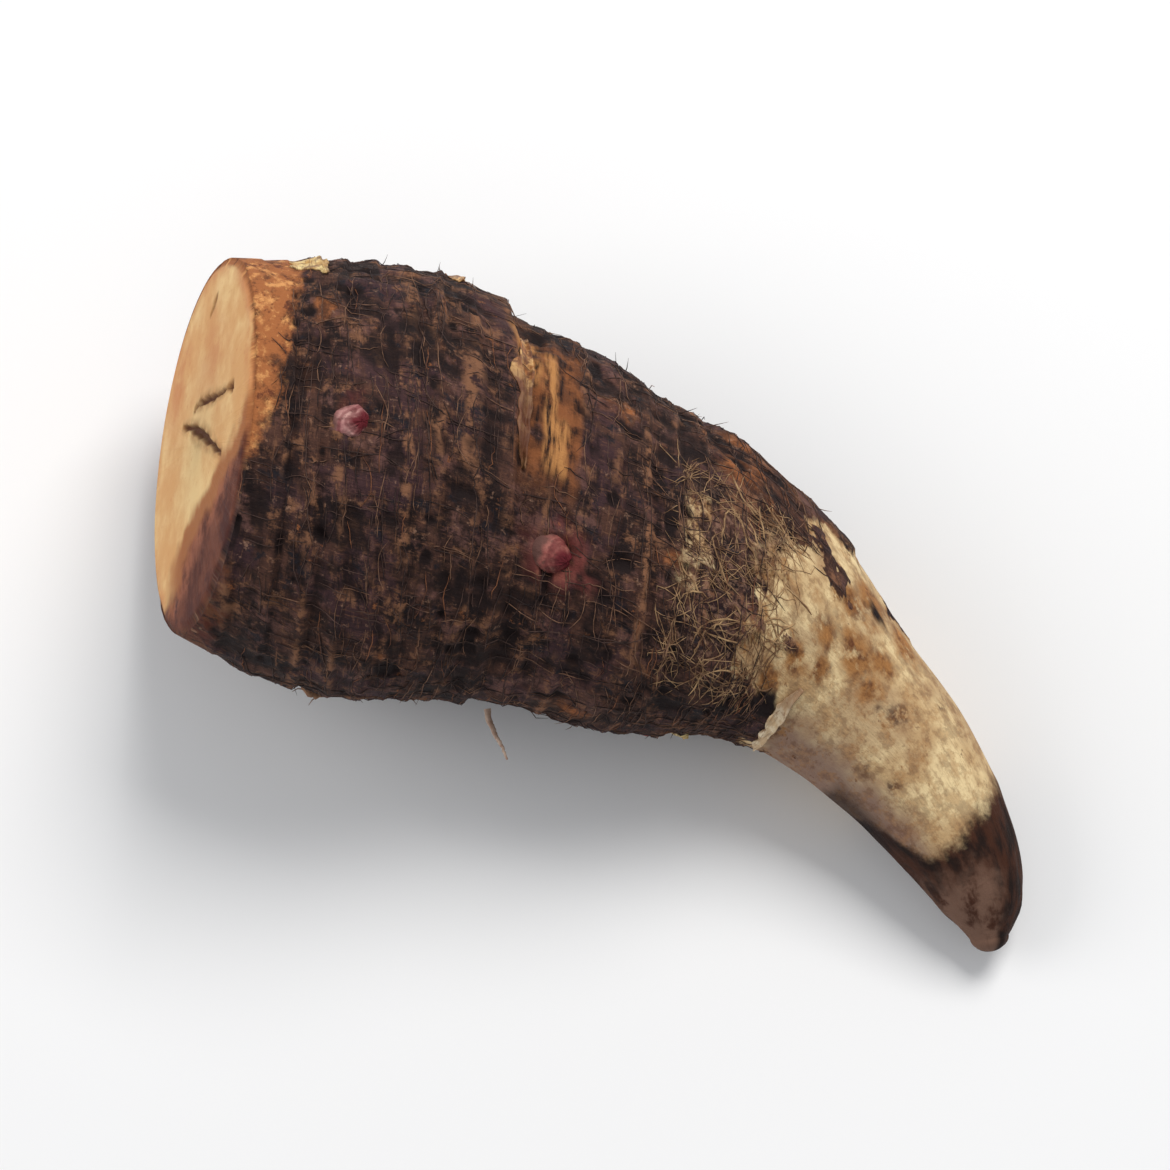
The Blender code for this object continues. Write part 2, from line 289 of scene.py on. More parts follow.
@dataclass
class Skin:
    """The skin's relief, and the zones that its finish shows: peeled rim, band, bare neck and tip."""

    stem: Stem
    peel_edge: Rows = (
        (10, 18.5), (30, 20.0), (46, 18.2), (64, 16.6), (78, 16.2), (90, 15.4), (100, 13.6), (111, 11.2),
        (126, 10.0), (136, 11.0), (146, 12.6), (160, 12.0), (200, 13.0), (235, 11.5), (270, 14.0),
        (310, 12.0), (340, 15.0),
    )
    neck_edge: Rows = (
        (20, 96.0), (38, 92.0), (60, 88.0), (76, 84.0), (93, 82.5), (104, 85.0), (113, 81.5), (124, 81.5),
        (132, 89.0), (142, 95.5), (156, 93.5), (176, 90.0), (215, 94.0), (270, 99.0), (320, 96.0),
    )
    tip_edge: Rows = (
        (22, 124.5), (56, 126.0), (76, 126.5), (99, 129.0), (130, 129.0), (145, 125.5), (156, 121.5),
        (190, 117.0), (250, 121.0), (310, 123.0),
    )
    torn_size: float = 3.4
    peel_ragged: float = 1.8
    neck_ragged: float = 3.0
    tip_ragged: float = 1.0
    margin_reach: float = 4.0
    tip_margin_reach: float = 6.0
    band_start: float = 48.5
    band_end: float = 58.5
    worn_lips: Rows = ((34.4, 35.6, 86, 66, 54), (42.6, 43.6, 80, 20, 10))
    collar_height: float = 0.55
    socket_depth: float = 0.5
    peel_depth: float = 0.55
    neck_depth: float = 0.35
    flake_height: float = 0.25
    pit_depth: float = 0.45
    coarse_relief: float = 0.46
    fibre_relief: float = 0.20
    grit_relief: float = 0.16
    buds: Rows = ((27.8, 91.0, 2.7), (55.5, 109.0, 3.0), (45.0, 208.0, 2.6), (66.0, 338.0, 2.5),
                  (31.0, 338.0, 2.8), (75.0, 196.0, 2.2))

    def __post_init__(self) -> None:
        """Sets up the random grains, one for each kind of roughness."""
        self.broad = Grain(11)
        self.fine = Grain(23)
        self.ragged = Grain(37)
        self.ledges = self.stem.edges()

    def straight(self, along: np.ndarray, angle: np.ndarray) -> np.ndarray:
        """The skin rolled out straight, in mm, so that fibres can follow it: along, and across twice."""
        radius = self.stem.sample(along)[1]
        return np.stack([along, radius * np.cos(angle), radius * np.sin(angle)], axis=1)

    def zones(self, along: np.ndarray, angle: np.ndarray) -> dict[str, np.ndarray]:
        """How far each zone holds at each place, from 0 to 1.

        Args:
            along: distances along the spine, in mm.
            angle: angles round it, in radians.

        Returns:
            The zones by name.
        """
        q = self.straight(along, angle)
        torn = self.ragged.layers(q, self.torn_size, 4)
        peel_at = round_profile(angle, self.peel_edge) + self.peel_ragged * torn
        neck_at = round_profile(angle, self.neck_edge) + self.neck_ragged * torn
        tip_at = round_profile(angle, self.tip_edge) + self.tip_ragged * self.ragged.layers(q, 1.6, 3)
        peel = step(along, peel_at + 0.35, peel_at - 0.35)
        left_on = self.left_on(q, along - neck_at)
        neck = step(along, neck_at - 0.4, neck_at + 0.4) * (1 - 0.92 * left_on)
        tip = step(along, tip_at - 0.8, tip_at + 0.8)
        upper = step(angle_gap(angle, 62), 34, 20)
        band = window(along, self.band_start + 0.3, self.band_end - 2.0, 1.2) * upper
        band *= step(torn, -0.55, -0.1)
        net = window(along, 74, 92, 5) * step(angle_gap(angle, 100), 42, 20)
        nearer = step(along, 76, 88)
        scraps = self.ragged.layers(q + 40, 4.2, 4)
        flakes = net * step(scraps, 0.34 - 0.55 * nearer, 0.42 - 0.55 * nearer)
        reach = self.margin_reach
        neck_margin = np.minimum(along - neck_at, reach * (0.55 - left_on))
        return {
            "peel": peel,
            "neck": neck,
            "tip": tip,
            "band": band,
            "net": net,
            "flakes": flakes,
            "peel_margin": np.clip(peel_at - along, -reach, reach),
            "neck_margin": np.clip(neck_margin, -reach, reach),
            "tip_margin": np.clip(along - tip_at, -self.tip_margin_reach, self.tip_margin_reach),
        }

    def left_on(self, q: np.ndarray, past: np.ndarray) -> np.ndarray:
        """Islands of husk still on the neck, fewer the further past the husk's edge they are."""
        return step(self.ragged.layers(q + 140, 4.4, 4) - 0.05 * np.maximum(past, 0), 0.04, 0.10)

    def ledge(self, along: np.ndarray, angle: np.ndarray, q: np.ndarray) -> tuple[np.ndarray, np.ndarray]:
        """How far the leaf-scar ledges sink the skin, each strong in some places and faint in others.

        Args:
            along: distances along the spine, in mm.
            angle: angles round it, in radians.
            q: the same places, rolled out straight.

        Returns:
            The depth in mm, and how far each place is on the worn lip of a ledge, from 0 to 1.
        """
        sunk = np.zeros_like(along)
        lip = np.zeros_like(along)
        waver = 0.7 * self.broad.at(q, (60.0, 5.0, 5.0))
        for number, (edge, drop, pitch) in enumerate(self.ledges):
            past = along - edge - waver
            strength = 1.0 + 0.9 * self.broad.at(q + 31.0 * number, (90.0, 9.0, 9.0))
            falling = ease(past / (0.7 * self.stem.ledge_width))
            rising = np.clip((pitch - past) / (pitch - self.stem.ledge_width), 0, 1)
            sunk += drop * strength * falling * rising
            worn = window(past, -0.75, -0.1, 0.35) * step(strength, 1.0, 1.5)
            lip = np.maximum(lip, worn)
        for start, end, centre, fades, full in self.worn_lips:
            worn = window(along - waver, start, end, 0.5) * step(angle_gap(angle, centre), fades, full)
            lip = np.maximum(lip, 0.9 * worn)
        return sunk, lip

    def dimples(self, along: np.ndarray, angle: np.ndarray) -> np.ndarray:
        """A collar round each bud, as height in mm."""
        height = np.zeros_like(along)
        for bud_along, bud_angle, size in self.buds:
            radius = self.stem.sample(np.array([bud_along]))[1][0]
            across = np.radians(angle_gap(angle, bud_angle)) * radius
            away = np.hypot(along - bud_along, across)
            height += self.collar_height * np.exp(-(((away - size * 1.25) / 0.8) ** 2))
            height -= self.socket_depth * np.exp(-((away / (size * 0.8)) ** 2))
        return height

    def relief(self, along: np.ndarray, angle: np.ndarray) -> tuple[np.ndarray, dict[str, np.ndarray]]:
        """Height of the skin over the envelope, in mm, with its zones.

        Args:
            along: distances along the spine, in mm.
            angle: angles round it, in radians.

        Returns:
            The heights, and the zones with "lip", "rough" and "pits" added.
        """
        q = self.straight(along, angle)
        zones = self.zones(along, angle)
        bare = np.maximum(np.maximum(zones["peel"], zones["neck"]), zones["tip"])
        husk = 1 - bare
        rough = self.coarse_relief * self.broad.layers(q, 4.6, 3)
        ring_ways = self.fine.at(q, (0.9, 4.0, 4.0))
        long_ways = self.fine.at(q + 9, (5.5, 1.0, 1.0))
        rough += self.fibre_relief * ring_ways + self.fibre_relief * long_ways
        rough += self.grit_relief * self.fine.layers(q, 1.3, 2)
        pits = step(self.fine.at(q + 55, 2.6), 0.50, 0.72)
        rough -= self.pit_depth * pits
        smooth = 0.10 * self.broad.layers(q + 5, 6.0, 2) + 0.05 * self.fine.at(q, (9.0, 0.9, 0.9))
        smooth += zones["tip"] * 0.14 * self.fine.at(q + 3, (6.0, 1.3, 1.3))
        height = rough * husk + smooth * bare
        sunk, lip = self.ledge(along, angle, q)
        height -= sunk * (1 - 0.75 * np.maximum(zones["neck"], zones["peel"]))
        zones["lip"] = lip * husk
        height -= self.peel_depth * zones["peel"] + self.neck_depth * zones["neck"]
        height += self.flake_height * zones["flakes"] * husk
        height += self.dimples(along, angle)
        zones["rough"] = np.clip(0.5 + rough, 0, 1)
        zones["pits"] = pits * husk
        return height, zones

    def place(self, along: np.ndarray, angle: np.ndarray, lift: float | np.ndarray = 0.0) -> np.ndarray:
        """Places on the finished skin, or lift mm off it, in mm."""
        centre, outward, radius = self.stem.envelope(along, angle)
        sunk = self.stem.lump(centre + outward * radius[:, None], radius)
        height = self.relief(along, angle)[0] - sunk
        unit = outward / np.linalg.norm(outward, axis=1)[:, None]
        return centre + outward * (radius + height)[:, None] + unit * np.asarray(lift).reshape(-1, 1)

    def outward(self, along: float, angle: float) -> Vector:
        """The unit direction straight out of the envelope at one place."""
        nudge = 0.02
        spots = np.array([along, along + 0.5, along]), np.array([angle, angle, angle + nudge])
        centre, outward, radius = self.stem.envelope(*spots)
        here, forward, turning = (Vector(p) for p in centre + outward * radius[:, None])
        return (turning - here).cross(forward - here).normalized()


# ---------------------------------------------------------------------------------------------------------
# Finishes
# ---------------------------------------------------------------------------------------------------------

Colour = tuple[float, float, float]
Stretch = tuple[float, float, float]


class Nodes:
    """Adds nodes to one material and joins them up."""

    def __init__(self, name: str) -> None:
        """Starts a material with its shader."""
        self.material = bpy.data.materials.new(name)
        self.material.use_nodes = True
        self.tree = self.material.node_tree
        self.shader = self.tree.nodes["Principled BSDF"]

    def add(self, kind: str, settings: dict | None = None, **inputs: object) -> bpy.types.Node:
        """Adds a node.

        Args:
            kind: the node's type, without its "ShaderNode".
            settings: properties of the node.
            inputs: a value or another node's output for each named socket, spaces as underscores.

        Returns:
            The node.
        """
        node = self.tree.nodes.new("ShaderNode" + kind)
        for key, value in (settings or {}).items():
            setattr(node, key, value)
        for key, value in inputs.items():
            self.plug(node.inputs[key.replace("_", " ")], value)
        return node

    def plug(self, socket: bpy.types.NodeSocket, value: object) -> None:
        """Links a socket to an output, or gives it a value."""
        if isinstance(value, bpy.types.NodeSocket):
            self.tree.links.new(value, socket)
        else:
            socket.default_value = value

    def attribute(self, name: str, output: str = "Fac") -> bpy.types.NodeSocket:
        """A named attribute of the mesh."""
        return self.add("Attribute", {"attribute_name": name}).outputs[output]

    def place(self) -> bpy.types.NodeSocket:
        """The place in the row frame."""
        return self.add("TexCoord").outputs["Object"]

    def stretch(self, vector: bpy.types.NodeSocket, scale: Stretch) -> bpy.types.NodeSocket:
        """The vector scaled by direction."""
        return self.add("Mapping", Vector=vector, Scale=scale).outputs["Vector"]

    def noise(
        self, vector: bpy.types.NodeSocket, scale: float, detail: float = 3.0, rough: float = 0.55
    ) -> bpy.types.NodeSocket:
        """Cloudy noise, from 0 to 1."""
        node = self.add("TexNoise", Vector=vector, Scale=scale, Detail=detail, Roughness=rough)
        return node.outputs["Fac"]

    def ramp(self, share: bpy.types.NodeSocket, low: float, high: float) -> bpy.types.NodeSocket:
        """0 where share is below low, 1 above high."""
        node = self.add("MapRange", {"interpolation_type": "SMOOTHSTEP"}, Value=share)
        node.inputs["From Min"].default_value = low
        node.inputs["From Max"].default_value = high
        return node.outputs["Result"]

    def cloud(
        self,
        vector: bpy.types.NodeSocket,
        scale: float,
        low: float,
        high: float,
        detail: float = 7.0,
        rough: float = 0.7,
    ) -> bpy.types.NodeSocket:
        """Cloudy patches: 0 where the noise is below low, 1 above high."""
        return self.ramp(self.noise(vector, scale, detail, rough), low, high)

    def tint(
        self, base: object, colour: object, share: bpy.types.NodeSocket, strength: float = 1.0
    ) -> bpy.types.NodeSocket:
        """Turns a base towards a colour by a share of at most strength."""
        if strength < 1.0:
            share = self.maths("MULTIPLY", share, strength)
        return self.blend(share, base, colour)

    def mottle(
        self,
        base: object,
        colour: object,
        vector: bpy.types.NodeSocket,
        scale: float,
        low: float,
        high: float,
        strength: float = 1.0,
        detail: float = 7.0,
        rough: float = 0.7,
        within: bpy.types.NodeSocket | None = None,
    ) -> bpy.types.NodeSocket:
        """Lays cloudy patches of a colour over a base.

        Args:
            base: the colour so far.
            colour: the patches' colour.
            vector: the place.
            scale: how close the patches are.
            low: the noise at which a patch begins.
            high: the noise at which it is full.
            strength: how far a full patch hides the base.
            detail: how fine the noise goes.
            rough: how strong its fine part is.
            within: a share outside which there are no patches.

        Returns:
            The mottled colour.
        """
        share = self.cloud(vector, scale, low, high, detail, rough)
        if within is not None:
            share = self.maths("MULTIPLY", within, share)
        return self.tint(base, colour, share, strength)

    def maths(self, operation: str, a: object, b: object = 0.0) -> bpy.types.NodeSocket:
        """A sum, product or the like."""
        node = self.add("Math", {"operation": operation})
        self.plug(node.inputs[0], a)
        self.plug(node.inputs[1], b)
        return node.outputs["Value"]

    def blend(self, share: object, a: object, b: object, way: str = "MIX") -> bpy.types.NodeSocket:
        """Colour a where share is 0 and b where it is 1."""
        node = self.add("Mix", {"data_type": "RGBA", "blend_type": way})
        for socket, value in zip((node.inputs[0], node.inputs[6], node.inputs[7]), (share, a, b)):
            if isinstance(value, tuple):
                value = (*value, 1.0)
            self.plug(socket, value)
        return node.outputs[2]

    def bump(self, height: bpy.types.NodeSocket, distance: float, strength: float = 1.0) -> None:
        """Gives the shader a bump of that depth in metres."""
        node = self.add("Bump", Height=height, Strength=strength, Distance=distance)
        self.plug(self.shader.inputs["Normal"], node.outputs["Normal"])

    def finish(self, colour: object, roughness: object, specular: float = 0.4) -> bpy.types.Material:
        """Sets the shader's colour and roughness and hands over the material."""
        self.plug(self.shader.inputs["Base Color"], colour)
        self.plug(self.shader.inputs["Roughness"], roughness)
        self.shader.inputs["Specular IOR Level"].default_value = specular
        return self.material


@dataclass(frozen=True)
class HuskFinish:
    """The corm's skin: dark fibrous husk, peeled rim, tan band, cream neck and grey-brown tip."""

    dark: Colour = (0.012, 0.0065, 0.0065)
    brown: Colour = (0.075, 0.033, 0.023)
    plum: Colour = (0.052, 0.024, 0.028)
    tan: Colour = (0.23, 0.105, 0.055)
    bark: Colour = (0.13, 0.046, 0.019)
    fawn: Colour = (0.34, 0.19, 0.125)
    rose: Colour = (0.17, 0.080, 0.066)
    blue_black: Colour = (0.012, 0.012, 0.017)
    old_flesh: Colour = (0.33, 0.115, 0.062)
    old_rust: Colour = (0.085, 0.022, 0.014)
    orange: Colour = (0.36, 0.125, 0.042)
    amber: Colour = (0.66, 0.31, 0.11)
    straw: Colour = (0.47, 0.215, 0.072)
    ochre: Colour = (0.36, 0.165, 0.055)
    buff: Colour = (0.36, 0.215, 0.115)
    cream: Colour = (0.56, 0.37, 0.185)
    pale: Colour = (0.84, 0.65, 0.36)
    flesh_cream: Colour = (0.70, 0.38, 0.155)
    flesh_pale: Colour = (0.84, 0.59, 0.28)
    flesh_stain: Colour = (0.58, 0.215, 0.085)
    # colour of the painted shade down the neck's lower side
    painted_shade: Colour = (0.25, 0.155, 0.125)
    tip_dark: Colour = (0.017, 0.008, 0.006)
    tip_pale: Colour = (0.185, 0.102, 0.070)
    tip_warm: Colour = (0.060, 0.021, 0.011)
    red: Colour = (0.20, 0.050, 0.042)
    broad_rings: Stretch = (0.30, 0.05, 0.05)
    fine_rings: Stretch = (2.3, 0.26, 0.26)
    fine_veins: Stretch = (0.22, 2.2, 2.2)
    bump_veins: Stretch = (0.35, 3.5, 3.5)
    long_clouds: Stretch = (0.6, 1.0, 1.0)
    tip_streaks: Stretch = (0.5, 1.4, 1.4)
    band_stripes: Stretch = (1.1, 0.14, 0.14)
    bump_depth: float = 0.00016
    smoothest: float = 0.62
    roughest: float = 0.92
    sheen: float = 0.16

    def husk(self, n: Nodes, q: bpy.types.NodeSocket) -> bpy.types.NodeSocket:
        """Colour of the fibrous husk, in patches crossed by threads both ways, with painted shade where the
        relief sinks.
        """
        base = n.mottle(self.dark, self.brown, q, 0.20, 0.40, 0.60, rough=0.68)
        base = n.mottle(base, self.plum, q, 0.11, 0.50, 0.60, 0.8, detail=5.0, rough=0.6)
        along_rings = n.stretch(q, self.broad_rings)
        base = n.mottle(base, self.dark, along_rings, 1.0, 0.50, 0.36, 0.6, detail=3.0, rough=0.6)
        base = n.mottle(base, self.rose, q, 0.17, 0.53, 0.64, 0.6, rough=0.72)
        base = n.mottle(base, self.tan, q, 0.26, 0.535, 0.66, 0.85, detail=8.0, rough=0.72)
        base = n.mottle(base, self.orange, q, 0.33, 0.63, 0.70, 0.75, detail=8.0)
        base = n.mottle(base, self.blue_black, q, 0.27, 0.44, 0.36, 0.85, detail=6.0)
        base = n.mottle(base, self.fawn, q, 0.9, 0.58, 0.68, 0.6, detail=6.0, rough=0.75)
        ring_ways = n.noise(n.stretch(q, self.fine_rings), 1.0, 5.0, 0.65)
        long_ways = n.noise(n.stretch(q, self.fine_veins), 1.0, 5.0, 0.65)
        threads = n.maths("MAXIMUM", n.ramp(ring_ways, 0.57, 0.70), n.ramp(long_ways, 0.57, 0.70))
        base = n.tint(base, self.tan, threads, 0.5)
        furrows = n.maths("MAXIMUM", n.ramp(ring_ways, 0.45, 0.33), n.ramp(long_ways, 0.45, 0.33))
        base = n.tint(base, self.dark, furrows, 0.7)
        base = n.mottle(base, self.tan, q, 0.5, 0.46, 0.58, detail=6.0, within=n.attribute("lip"))
        glowing = n.mottle(self.bark, self.orange, q, 0.5, 0.44, 0.62)
        glowing = n.mottle(glowing, self.fawn, q, 0.7, 0.54, 0.66)
        base = n.mottle(base, glowing, q, 0.45, 0.32, 0.52, rough=0.72, within=n.attribute("warm"))
        # painted shade: darker where the relief is low
        return n.tint(base, self.dark, n.ramp(n.attribute("rough"), 0.48, 0.20), 0.85)

    def rim(self, n: Nodes, q: bpy.types.NodeSocket) -> bpy.types.NodeSocket:
        """Colour of the peeled rim beside the cut, orange above and rust red below."""
        blotch = n.noise(q, 0.30, 7.0, 0.68)
        upper = n.blend(n.ramp(blotch, 0.33, 0.50), self.bark, self.orange)
        upper = n.mottle(upper, self.amber, q, 0.36, 0.49, 0.64)
        upper = n.mottle(upper, self.old_rust, q, 0.42, 0.54, 0.64, 0.8)
        lower = n.blend(n.ramp(blotch, 0.42, 0.60), self.old_rust, self.bark)
        lower = n.mottle(lower, self.dark, q, 0.85, 0.49, 0.62, 0.85, detail=8.0, rough=0.72)
        lower = n.mottle(lower, self.fawn, q, 0.60, 0.56, 0.66, 0.6, detail=8.0, rough=0.72)
        return n.blend(n.attribute("low"), upper, lower)

    def bare(self, n: Nodes, q: bpy.types.NodeSocket) -> bpy.types.NodeSocket:
        """Colour of the bare neck: cream with fine lengthwise veins, blushes and specks, and painted shade
        down its lower side.
        """
        colour = n.mottle(self.cream, self.pale, q, 0.15, 0.36, 0.60, detail=3.0, rough=0.55)
        veins = n.stretch(q, self.fine_veins)
        colour = n.mottle(colour, self.buff, veins, 1.0, 0.48, 0.66, 0.4, detail=5.0, rough=0.65)
        dull = n.stretch(q, self.long_clouds)
        colour = n.mottle(colour, self.buff, dull, 0.13, 0.46, 0.64, 0.6, detail=3.0, rough=0.55)
        colour = n.mottle(colour, self.ochre, q, 0.20, 0.56, 0.70, 0.5, detail=5.0, rough=0.62)
        # painted shade: the neck's lower side turned towards a grey-pink shade colour
        colour = n.tint(colour, self.painted_shade, n.attribute("painted_shade"), 0.85)
        burnt = n.mottle(self.bark, self.ochre, q, 0.5, 0.36, 0.54, detail=5.0, rough=0.65)
        burnt = n.mottle(burnt, self.straw, q, 0.4, 0.54, 0.68, detail=5.0, rough=0.65)
        blush = n.attribute("orange")
        colour = n.mottle(colour, burnt, q, 0.4, 0.30, 0.50, detail=5.0, rough=0.65, within=blush)
        colour = n.mottle(colour, self.bark, q, 0.60, 0.64, 0.72, 0.7, detail=4.0, rough=0.65)
        speck = n.attribute("speck")
        return n.mottle(colour, self.brown, q, 1.1, 0.36, 0.56, detail=5.0, within=speck)

    def tip(self, n: Nodes, q: bpy.types.NodeSocket) -> bpy.types.NodeSocket:
        """Colour of the withered tip."""
        streaks = n.noise(n.stretch(q, self.tip_streaks), 0.4, 4.0, 0.6)
        colour = n.blend(n.ramp(streaks, 0.36, 0.62), self.tip_dark, self.tip_warm)
        pale = n.blend(n.ramp(streaks, 0.40, 0.64), self.tip_warm, self.tip_pale)
        pale = n.mottle(pale, self.tip_pale, q, 0.25, 0.40, 0.56, detail=4.0, rough=0.6)
        stray = n.maths("SUBTRACT", n.noise(q, 0.3, 6.0, 0.7), 0.5)
        worn = n.maths("ADD", n.attribute("tip_pale"), stray)
        return n.blend(n.ramp(worn, 0.10, 1.0), colour, pale)

    def build(self) -> bpy.types.Material:
        """The material."""
        n = Nodes("husk_finish")
        q = n.attribute("skin", "Vector")
        colour = self.husk(n, q)
        colour = n.blend(n.attribute("band"), colour, self.band(n, q))
        golden = n.mottle(self.ochre, self.bare(n, q), q, 0.35, 0.42, 0.58, detail=6.0, rough=0.68)
        flakes = n.attribute("flakes")
        colour = n.mottle(colour, golden, q, 0.7, 0.40, 0.58, 0.9, detail=8.0, rough=0.75, within=flakes)
        net = n.attribute("net")
        colour = n.mottle(colour, self.fawn, q, 1.0, 0.50, 0.62, 0.55, detail=8.0, rough=0.75, within=net)
        colour = n.blend(self.border(n, q, "peel_margin", 7.0, 1.2), colour, self.rim(n, q))
        colour = n.blend(self.border(n, q, "neck_margin", 5.0, 0.5), colour, self.bare(n, q))
        beside_husk = n.ramp(n.attribute("neck_margin"), 3.6, 0.6)
        fringe = n.maths("MULTIPLY", self.border(n, q, "neck_margin", 8.0, 2.0), beside_husk)
        scorched = n.mottle(self.bark, self.ochre, q, 0.6, 0.42, 0.58, detail=6.0)
        colour = n.mottle(colour, scorched, q, 0.38, 0.44, 0.56, within=fringe)
        colour = n.blend(self.border(n, q, "tip_margin", 6.0, 1.8), colour, self.tip(n, q))
        colour = n.blend(n.attribute("red"), colour, self.red)
        # painted shade: hollows, pits and the neck's underside near the tip turned dark
        colour = n.blend(n.attribute("painted_dark_shade"), colour, self.dark)
        colour = n.blend(n.attribute("cut"), colour, self.flesh(n))
        grain = n.noise(q, 2.2, 5.0, 0.65)
        long_ways = n.noise(n.stretch(q, self.bump_veins), 1.0, 4.0, 0.6)
        n.bump(n.maths("ADD", grain, long_ways), self.bump_depth, 0.8)
        roughness = n.add("MapRange", Value=grain)
        roughness.inputs["To Min"].default_value = self.smoothest
        roughness.inputs["To Max"].default_value = self.roughest
        return n.finish(colour, roughness.outputs["Result"], self.sheen)

    def border(
        self, n: Nodes, q: bpy.types.NodeSocket, margin: str, ragged: float, soft: float
    ) -> bpy.types.NodeSocket:
        """1 on a zone and 0 off it, with a ragged border.

        Args:
            n: the material's nodes.
            q: the place on the skin.
            margin: the attribute that holds how far inside the zone a place is, in mm.
            ragged: how far the border strays, in mm.
            soft: half the width over which it fades, in mm.

        Returns:
            The share of the zone's colour.
        """
        stray = n.maths("MULTIPLY", n.maths("SUBTRACT", n.noise(q, 0.45, 8.0, 0.72), 0.5), ragged)
        return n.ramp(n.maths("ADD", n.attribute(margin), stray), -soft, soft)

    def band(self, n: Nodes, q: bpy.types.NodeSocket) -> bpy.types.NodeSocket:
        """Colour of the tan band at the waist: stripes of old sheath, with bright straw strips of painted
        highlight.
        """
        stripes = n.noise(n.stretch(q, self.band_stripes), 1.0, 5.0, 0.65)
        colour = n.blend(n.ramp(stripes, 0.36, 0.58), self.dark, self.bark)
        colour = n.mottle(colour, self.orange, q, 0.35, 0.44, 0.62, 0.5)
        # painted highlight: bright straw strips across the band
        painted_highlight = n.maths("MULTIPLY", n.attribute("painted_highlight"), n.ramp(stripes, 0.34, 0.56))
        return n.blend(painted_highlight, colour, self.straw)

    def flesh(self, n: Nodes) -> bpy.types.NodeSocket:
        """Colour of the knife cut: cream flesh with peach stains, brown cracks and a brown lower edge."""
        p = n.place()
        colour = n.mottle(self.flesh_cream, self.flesh_pale, p, 75.0, 0.38, 0.62, detail=6.0, rough=0.62)
        stain, halo = n.attribute("stain"), n.attribute("halo")
        peach = self.flesh_stain
        colour = n.mottle(colour, peach, p, 110.0, 0.32, 0.58, 0.75, detail=6.0, rough=0.66, within=stain)
        colour = n.mottle(colour, peach, p, 1100.0, 0.60, 0.72, 0.3, detail=3.0, rough=0.55)
        old = n.mottle(self.old_rust, self.old_flesh, p, 120.0, 0.40, 0.60, rough=0.68)
        old = n.mottle(old, self.plum, p, 95.0, 0.52, 0.64, detail=6.0, rough=0.66)
        old = n.tint(old, self.old_rust, n.attribute("deep"), 0.7)
        colour = n.blend(n.attribute("browned"), colour, old)
        colour = n.blend(n.attribute("scorch"), colour, self.orange)
        colour = n.mottle(colour, self.ochre, p, 330.0, 0.30, 0.60, 0.65, detail=5.0, rough=0.65, within=halo)
        return n.tint(colour, self.old_rust, n.attribute("crack"), 0.9)


@dataclass(frozen=True)
class FibreFinish:
    """Dry threads, lighter and darker by turns."""

    name: str
    light: Colour
    dark: Colour
    roughness: float = 0.75

    def build(self) -> bpy.types.Material:
        """The material."""
        n = Nodes(self.name)
        colour = n.mottle(self.dark, self.light, n.place(), 420.0, 0.36, 0.64, detail=3.0)
        n.bump(n.noise(n.place(), 4000.0, 2.0), 0.00003)
        return n.finish(colour, self.roughness, 0.25)


@dataclass(frozen=True)
class BudFinish:
    """Overlapping bud scales: pink, paler at the foot, dark red where one scale's edge meets the next, and
    dark red at the point as painted shade.
    """

    pink: Colour
    pale: Colour
    edge: Colour = (0.13, 0.014, 0.020)
    husk: Colour = (0.12, 0.055, 0.045)

    def build(self, name: str) -> bpy.types.Material:
        """The material."""
        n = Nodes(name)
        p = n.place()
        colour = n.mottle(self.pink, self.pale, p, 380.0, 0.38, 0.62, detail=4.0, rough=0.6)
        colour = n.mottle(colour, self.husk, p, 700.0, 0.50, 0.64, 0.75, detail=5.0)
        colour = n.blend(n.attribute("foot"), colour, self.husk)
        # painted shade: the leaning point turned dark red
        colour = n.blend(n.attribute("point"), colour, self.edge)
        colour = n.tint(colour, self.edge, n.attribute("edge"), 0.55)
        n.bump(n.noise(p, 1300.0, 5.0, 0.65), 0.00022)
        return n.finish(colour, 0.7, 0.2)


@dataclass(frozen=True)
class SheathFinish:
    """Old leaf sheath: papery, orange-tan to cream, with veins across."""

    name: str
    light: Colour
    deep: Colour
    vein: Colour
    clean: float = 0.52
    across: Stretch = (3.0, 0.3, 0.3)

    def build(self) -> bpy.types.Material:
        """The material."""
        n = Nodes(self.name)
        q = n.attribute("skin", "Vector")
        colour = n.mottle(self.deep, self.light, q, 0.5, 0.38, 0.62, detail=4.0, rough=0.6)
        veins = n.noise(n.stretch(q, self.across), 1.0, 3.0, 0.6)
        colour = n.tint(colour, self.vein, n.ramp(veins, 0.52, 0.70), 0.7)
        colour = n.mottle(colour, self.vein, q, 0.55, self.clean - 0.06, self.clean + 0.06, 0.85)
        colour = n.tint(colour, self.vein, n.attribute("stained"), 0.85)
        n.bump(veins, 0.00015)
        return n.finish(colour, 0.6, 0.35)


# ---------------------------------------------------------------------------------------------------------
# Mesh helpers
# ---------------------------------------------------------------------------------------------------------


def add_object(name: str, data: bpy.types.ID, material: bpy.types.Material) -> bpy.types.Object:
    """Links an object with its material."""
    made = bpy.data.objects.new(name, data)
    data.materials.append(material)
    bpy.context.scene.collection.objects.link(made)
    return made


def adopt(piece: bpy.types.Object, slot: str, *nodes: str) -> bpy.types.Object:
    """Rides a piece on the root's body and lets it stand for CAD nodes."""
    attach(piece, "root")
    if nodes:
        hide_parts(*nodes)
    kind = "polygons" if piece.type == "MESH" else "splines"
    log.info("%s: %d %s", piece.name, len(getattr(piece.data, kind)), kind)
    return piece


def write_attribute(mesh: bpy.types.Mesh, name: str, values: np.ndarray) -> None:
    """Stores one number or one vector for each vertex."""
    vector = values.ndim == 2
    layer = mesh.attributes.new(name, "FLOAT_VECTOR" if vector else "FLOAT", "POINT")
    layer.data.foreach_set("vector" if vector else "value", values.astype(np.float32).ravel())


